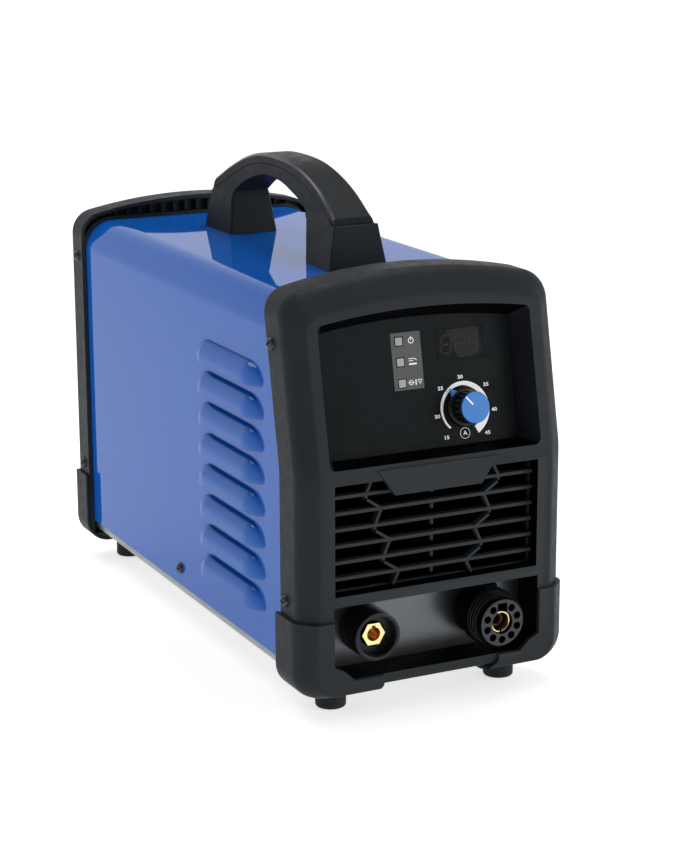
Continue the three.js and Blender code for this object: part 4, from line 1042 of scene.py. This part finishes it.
def digit(x, z):
    """The seven dark segments of one unlit figure, leaning a little."""
    tall, wide, thick = 6.6, 6.2, 1.2
    parts = []
    for level in (-1, 0, 1):
        middle, height = x + level * 0.6, z + level * tall
        parts.append(bar_print(middle - wide / 2, height, middle + wide / 2, height, thick))
    for level in (-1, 1):
        for side in (-1, 1):
            base = x + side * (wide / 2 + 0.9)
            low, high = z + level * 0.8, z + level * (tall - 0.8)
            parts.append(bar_print(base, low, base + level * 0.6, high, thick))
    return parts


DIGIT_PITCH = 11.6
window = on_face(centre("display_window"))
digits = [part for i in (-1, 0, 1) for part in digit(window.x + DIGIT_PITCH * i, window.z)]
publish(merged(*digits), "display_digits", "housing", SEGMENT)
# A painted reflection across the display: two lighter wedges behind the smoked window.
DISPLAY_REFLECTION = finish_of("display_painted_reflection", (0.0118, 0.0104, 0.01), 0.3, specular=0.1, variation=0.06, patch=60)
DISPLAY_REFLECTION_FADED = finish_of(
    "display_painted_reflection_faded", (0.0086, 0.0099, 0.0106), 0.3, specular=0.1, variation=0.06, patch=60
)
# Each wedge of painted reflection behind the window: its corners from the window's centre.
for part, tint, corners in (
    ("display_reflection_wedge", DISPLAY_REFLECTION, [(-10.7, 10.9), (8.7, 10.9), (1.1, -10.9), (-1.7, -10.9)]),
    ("display_reflection_wedge_faded", DISPLAY_REFLECTION_FADED, [(8.7, 10.9), (16.8, 10.9), (15.8, -9.4), (1.1, -10.9)]),
):
    printed([(window.x + x, window.z + z) for x, z in corners], part, tint, 0.02)

# ---------------------------------------------------------------- sockets
ground = centre("ground_socket_body")
torch = centre("torch_socket_contact")
TORCH_FACE = (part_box("torch_socket_body")[0].y / MM) - ORIGIN.y
GROUND_AXIS = Matrix.Translation((ground.x, 0, ground.z))
TORCH_AXIS = Matrix.Translation((torch.x, TORCH_FACE, torch.z))
TORCH_BACK = PLATE_FRONT - GAP - TORCH_FACE
HEX_ACROSS = 16.5
PIN_PLACES = 10  # the one at the top is the keyway
PIN_CIRCLE = 13.4
PIN_RADIUS = 2.95
PIN_DEPTH = 14
THREAD_TURNS = 4
THREAD_PITCH = 3.7

publish(
    lathe([
        (10.2, 9.2), (14.6, 9.2), (15.2, 8.6), (15.4, 7.8), (15.4, 0.9), (15.8, 0.25), (16.6, 0),
        (17.6, 0), (18.4, 0.3), (18.7, 1.1), (18.7, PLATE_FRONT - GAP), (10.2, PLATE_FRONT - GAP),
    ], 72, GROUND_AXIS),
    "ground_socket_moulding", "housing", GROUND_BODY, ["ground_socket_body"],
)
hexagon = circle(0, 0, HEX_ACROSS / math.sqrt(3), 6)
contact = cut(
    along_y(hexagon, 7.2, 25, GROUND_AXIS),
    disc(0, 0, 5.4, 0, 20, 40, GROUND_AXIS),
    block(-1.6, 1.6, 0, 19, 3, 6.7, GROUND_AXIS),
)
contact = softened(contact, 0.4)
for face in contact.data.polygons:
    local = GROUND_AXIS.inverted() @ face.center
    face.material_index = 1 if abs(face.normal.y) < 0.6 and math.hypot(local.x, local.z) < 5.6 else 0
publish(contact, "ground_socket_insert", "housing", (BRASS, BRASS_BORE),
        ["ground_socket_contact"])


def torch_socket():
    thread = []
    for turn in range(THREAD_TURNS):
        y = 3.0 + turn * THREAD_PITCH
        thread += [(18.5, y + 0.9), (20.6, y + 1.4), (20.6, y + 3.0), (18.5, y + 3.6)]
    profile = [
        (0, 0), (17.2, 0), (18.1, 0.3), (18.5, 1.0), (18.5, 2.8), *thread, (19.5, 18), (22.4, 18.2),
        (22.4, 22), (20, 22.3), (20, TORCH_BACK), (0, TORCH_BACK),
    ]
    body = join(
        lathe(profile, 96, TORCH_AXIS), block(-5, 5, 17.2, 22, 18, 25, TORCH_AXIS),
    )
    tools = []
    for pin in range(1, PIN_PLACES):
        a = 2 * math.pi * pin / PIN_PLACES
        x, z = PIN_CIRCLE * math.sin(a), PIN_CIRCLE * math.cos(a)
        tools.append(disc(x, z, PIN_RADIUS, -1, PIN_DEPTH, 24, TORCH_AXIS))
    tools.append(disc(0, 0, 8.8, -1, TORCH_BACK + 1, 56, TORCH_AXIS))
    tools.append(block(-4.1, 4.1, -1, PIN_DEPTH, 0, 15.5, TORCH_AXIS))
    tools.append(block(-1.5, 1.5, -1, 17, -23, -18, TORCH_AXIS @ Matrix.Rotation(0.55, 4, "Y")))
    made = softened(cut(body, *tools), 0.3, angle=50, segments=2)
    # The bore's walls and the socket's back part are painted black as shade.
    for face in made.data.polygons:
        local = TORCH_AXIS.inverted() @ face.center
        inside = 0.5 < local.y < TORCH_BACK - 1 and math.hypot(local.x, local.z) < 20.2
        face.material_index = 1 if inside or local.y > 17 else 0
    return made


publish(torch_socket(), "torch_socket_moulding", "housing", (SOCKET, RECESS_PAINTED_SHADE),
        ["torch_socket_body"])
ring = cut(
    lathe(
        [(7, 2.9), (7.4, 2.5), (8.1, 2.5), (8.5, 2.9), (8.5, TORCH_BACK + 11), (7, TORCH_BACK + 11)],
        56, TORCH_AXIS,
    ),
    block(-0.8, 0.8, -5, 25, -10, 0, TORCH_AXIS),
)
publish(ring, "torch_socket_ring", "housing", BRASS, ["torch_socket_contact"])
# The floor and sleeve deep in the bore are painted dark brown as shade.
sleeve = lathe([(4, 9.4), (4.5, 9), (5, 9), (5.5, 9.6), (5.5, 20), (4, 20)], 48, TORCH_AXIS)
publish(merged(disc(0, 0, 6.9, 20, 21, 40, TORCH_AXIS), sleeve), "torch_socket_floor", "housing",
        BORE_PAINTED_SHADE)


# ---------------------------------------------------------------- screws
SCREW_HEIGHT = 3.3


def screw():
    """A pan head screw along z, its washer face at z = 0, with a cross recess."""
    head = [
        (0, SCREW_HEIGHT), (1.6, 3.25), (2.9, 2.9), (3.9, 2.1), (4.5, 1.2), (4.8, 0.4), (4.8, 0.05), (0, 0.05),
    ]
    made = lathe(head, 32, STAND)
    return cut(made, block(-0.65, 0.65, -2.9, 2.9, 1.4, 5), block(-2.9, 2.9, -0.65, 0.65, 1.4, 5))


pattern = screw()
for name in sorted(n for n in frame["nodes"] if n.startswith("screw_")):
    low, high = (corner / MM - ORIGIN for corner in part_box(name))
    side = 1 if low.x > 0 else -1
    seat = high.x - SCREW_HEIGHT if side > 0 else low.x + SCREW_HEIGHT
    place = (
        Matrix.Translation((seat, (low.y + high.y) / 2, (low.z + high.z) / 2))
        @ Matrix.Rotation(side * math.pi / 2, 4, "Y") @ Matrix.Rotation(low.z, 4, "Z")
    )
    publish(copied(pattern, place), "head_" + name, "housing", DARK_SCREW, [name])
bpy.data.objects.remove(pattern)

# ---------------------------------------------------------------- behind the grille
# A pleated sheet behind the grille; its near black is painted shade where the inside shows through.
PLEAT = 3
pleats = [(-87 + PLEAT * i, -22.6 if i % 2 else -25.6) for i in range(59)]
publish(
    along_y([*pleats, (87, -27.4), (-87, -27.4)], 93, 184, Matrix.Rotation(math.pi / 2, 4, "X")),
    "dust_filter_painted_shade", "housing", BLACK_AND_PAINTED_SHADE,
)
for name, width in (("mains_switch_housing", 0.6), ("mains_gland_nut", 0.6),
                    ("mains_gland_body", 0.5), ("air_inlet_fitting", 0.4), ("earth_stud", 0.3)):
    rounded_node(name, width)
rounded_node("mains_switch_rocker", 0.5, "mains_rocker")

# ---------------------------------------------------------------- fan and its guard
guard = centre("fan_guard")
GUARD_AXIS = Matrix.Translation((guard.x, guard.y, guard.z))
GUARD_WIRE = 1.2  # radius
GUARD_RINGS = (55.4, 42.5, 29)
EYE_REACH = 64


def fan_guard():
    """Rings of round wire on two crossed rods, with an eye for a screw at each end."""
    parts = [
        lathe([(ring + x, y) for x, y in circle(0, 0, GUARD_WIRE, 12)], 96, GUARD_AXIS)
        for ring in GUARD_RINGS
    ]
    parts.append(lathe([(0, -1), (17, -1), (18, -0.4), (18, 0.4), (17, 1), (0, 1)], 56, GUARD_AXIS))
    for turn in (45, 135):
        turned = Matrix.Rotation(math.radians(turn), 4, "Y")
        along = GUARD_AXIS @ turned @ Matrix.Rotation(math.pi / 2, 4, "Z")
        parts.append(disc(0, 0, GUARD_WIRE, -EYE_REACH + 3, EYE_REACH - 3, 14, along))
    eye = [(2.2, -1), (4.4, -1), (5, -0.5), (5, 0.5), (4.4, 1), (2.2, 1)]
    head = [(0, 0.2), (3.6, 0.2), (3.6, 1.6), (2.6, 2.6), (0, 2.9)]
    for turn in (45, 135, 225, 315):
        a = math.radians(turn)
        place = GUARD_AXIS @ Matrix.Translation((EYE_REACH * math.cos(a), 0, EYE_REACH * math.sin(a)))
        parts += [lathe(eye, 32, place), lathe(head, 24, place)]
    return merged(*parts)


HUB_RADIUS = 19
HUB_FRONT = 9  # from the hub's front to the middle of the blades
BLADE_COUNT = 7
BLADE_PITCH = math.radians(38)
# Distance from the axis, half the chord and the camber of a blade.
BLADE_STATIONS = ((17.5, 9, 0.6), (26, 10.6, 1.0), (36, 11.6, 1.4), (46, 11.8, 1.5), (53.4, 10.4, 1.2))


def fan_blade(turn):
    rings = []
    for radius, half, camber in BLADE_STATIONS:
        ring = []
        for side in (1, -1):
            for k in range(15):
                t = side * (k / 7 - 1)
                bow = camber * (1 - t * t) + side * (0.2 + 0.7 * math.sqrt(1 - t * t))
                y = -half * t * math.sin(BLADE_PITCH) + bow * math.cos(BLADE_PITCH)
                z = half * t * math.cos(BLADE_PITCH) + bow * math.sin(BLADE_PITCH)
                ring.append((math.sqrt(radius**2 - z**2), y, z))
        rings.append(ring)
    return loft(rings, FAN_AXIS @ Matrix.Rotation(turn, 4, "Y"))


rotor_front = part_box("fan_rotor")[0].y / MM - ORIGIN.y
FAN_AXIS = Matrix.Translation((guard.x, rotor_front + HUB_FRONT, guard.z))
hub = lathe([(0, -9), (17.2, -9), (HUB_RADIUS, -7.2), (HUB_RADIUS, 8), (17.6, 9.5), (0, 9.5)], 64, FAN_AXIS)
blades = [fan_blade(2 * math.pi * i / BLADE_COUNT) for i in range(BLADE_COUNT)]
publish(fan_guard(), "wire_guard", "housing", STEEL, ["fan_guard"])
publish(merged(hub, *blades), "rotor_blades", "fan", BLACK, ["fan_rotor"])

# ---------------------------------------------------------------- floor, light and camera
FLOOR = -0.0002  # metres, a hair below the soles
FLOOR_GLOW = 0.62
floor_mesh = bpy.data.meshes.new("floor")
floor_corners = [(-15, -15, FLOOR), (15, -15, FLOOR), (15, 25, FLOOR), (-15, 25, FLOOR)]
floor_mesh.from_pydata(floor_corners, [], [(0, 1, 2, 3)])
floor = bpy.data.objects.new("floor", floor_mesh)
bpy.context.scene.collection.objects.link(floor)
floor.data.materials.append(
    finish_of("floor_paint", (0.85, 0.85, 0.85), 0.75, specular=0.1, variation=0.006, patch=2)
)
floor_shader = floor.data.materials[0].node_tree.nodes["Principled BSDF"]
floor_shader.inputs["Emission Color"].default_value = (1, 1, 1, 1)
floor_shader.inputs["Emission Strength"].default_value = FLOOR_GLOW


def studio_world():
    """A pale surround: bright along the horizon, dimmer overhead and behind the camera."""
    made = bpy.data.worlds.new("studio")
    made.use_nodes = True
    tree = made.node_tree
    direction = tree.nodes.new("ShaderNodeTexCoord").outputs["Generated"]
    split = tree.nodes.new("ShaderNodeSeparateXYZ")
    tree.links.new(direction, split.inputs["Vector"])
    ramp = tree.nodes.new("ShaderNodeValToRGB")
    ramp.color_ramp.interpolation = "EASE"
    low, high = ramp.color_ramp.elements
    low.position, low.color = 0.22, (1, 1, 1, 1)
    high.position, high.color = 0.75, (0.34, 0.34, 0.35, 1)
    tree.links.new(split.outputs["Z"], ramp.inputs["Fac"])
    facing = tree.nodes.new("ShaderNodeVectorMath")
    facing.operation = "DOT_PRODUCT"
    facing.inputs[1].default_value = (-0.53, -0.84, 0.1)
    tree.links.new(direction, facing.inputs[0])
    dark = spread(tree, facing.outputs["Value"], 1.0, 0.3, 0.55, 0.95)
    scaled = tree.nodes.new("ShaderNodeVectorMath")
    scaled.operation = "SCALE"
    tree.links.new(ramp.outputs["Color"], scaled.inputs[0])
    tree.links.new(dark, scaled.inputs["Scale"])
    tree.links.new(scaled.outputs["Vector"], tree.nodes["Background"].inputs["Color"])
    return made


bpy.context.scene.world = studio_world()
bpy.context.scene.view_settings.view_transform = "Standard"


def point(x, y, z):
    return TO_FRAME @ Vector((x, y, z))


def softbox(name, place, target, size, power):
    light = bpy.data.lights.new(name, "AREA")
    light.shape = "RECTANGLE"
    light.size, light.size_y = size
    light.energy = power
    lamp = bpy.data.objects.new(name, light)
    bpy.context.scene.collection.objects.link(lamp)
    lamp.location = point(*place)
    lamp.rotation_euler = (point(*target) - point(*place)).to_track_quat("-Z", "Y").to_euler()
    return lamp


softbox("overhead", (420, 420, 1700), (0, 200, 310), (1.0, 0.7), 9)
softbox("rear_left", (-680, 1100, 1740), (0, 230, 350), (0.8, 0.8), 7)
softbox("front_right", (1700, -1500, 500), (0, 0, 180), (1.0, 1.2), 22)

CAMERA_EYE = (-754.22, -1361.78, 617.02)
CAMERA_AIM = (-79.56, 0, 227.0)
CAMERA_ROLL = -0.18  # degrees

camera_data = bpy.data.cameras.new("camera")
camera_data.lens = 93.60
camera_data.sensor_width = 36
camera_data.sensor_fit = "AUTO"
camera_data.clip_end = 100
camera = bpy.data.objects.new("camera", camera_data)
bpy.context.scene.collection.objects.link(camera)
eye, aim = point(*CAMERA_EYE), point(*CAMERA_AIM)
camera.location = eye
look = (aim - eye).to_track_quat("-Z", "Y").to_matrix().to_4x4()
camera.rotation_euler = (look @ Matrix.Rotation(math.radians(CAMERA_ROLL), 4, "Z")).to_euler()
bpy.context.scene.camera = camera
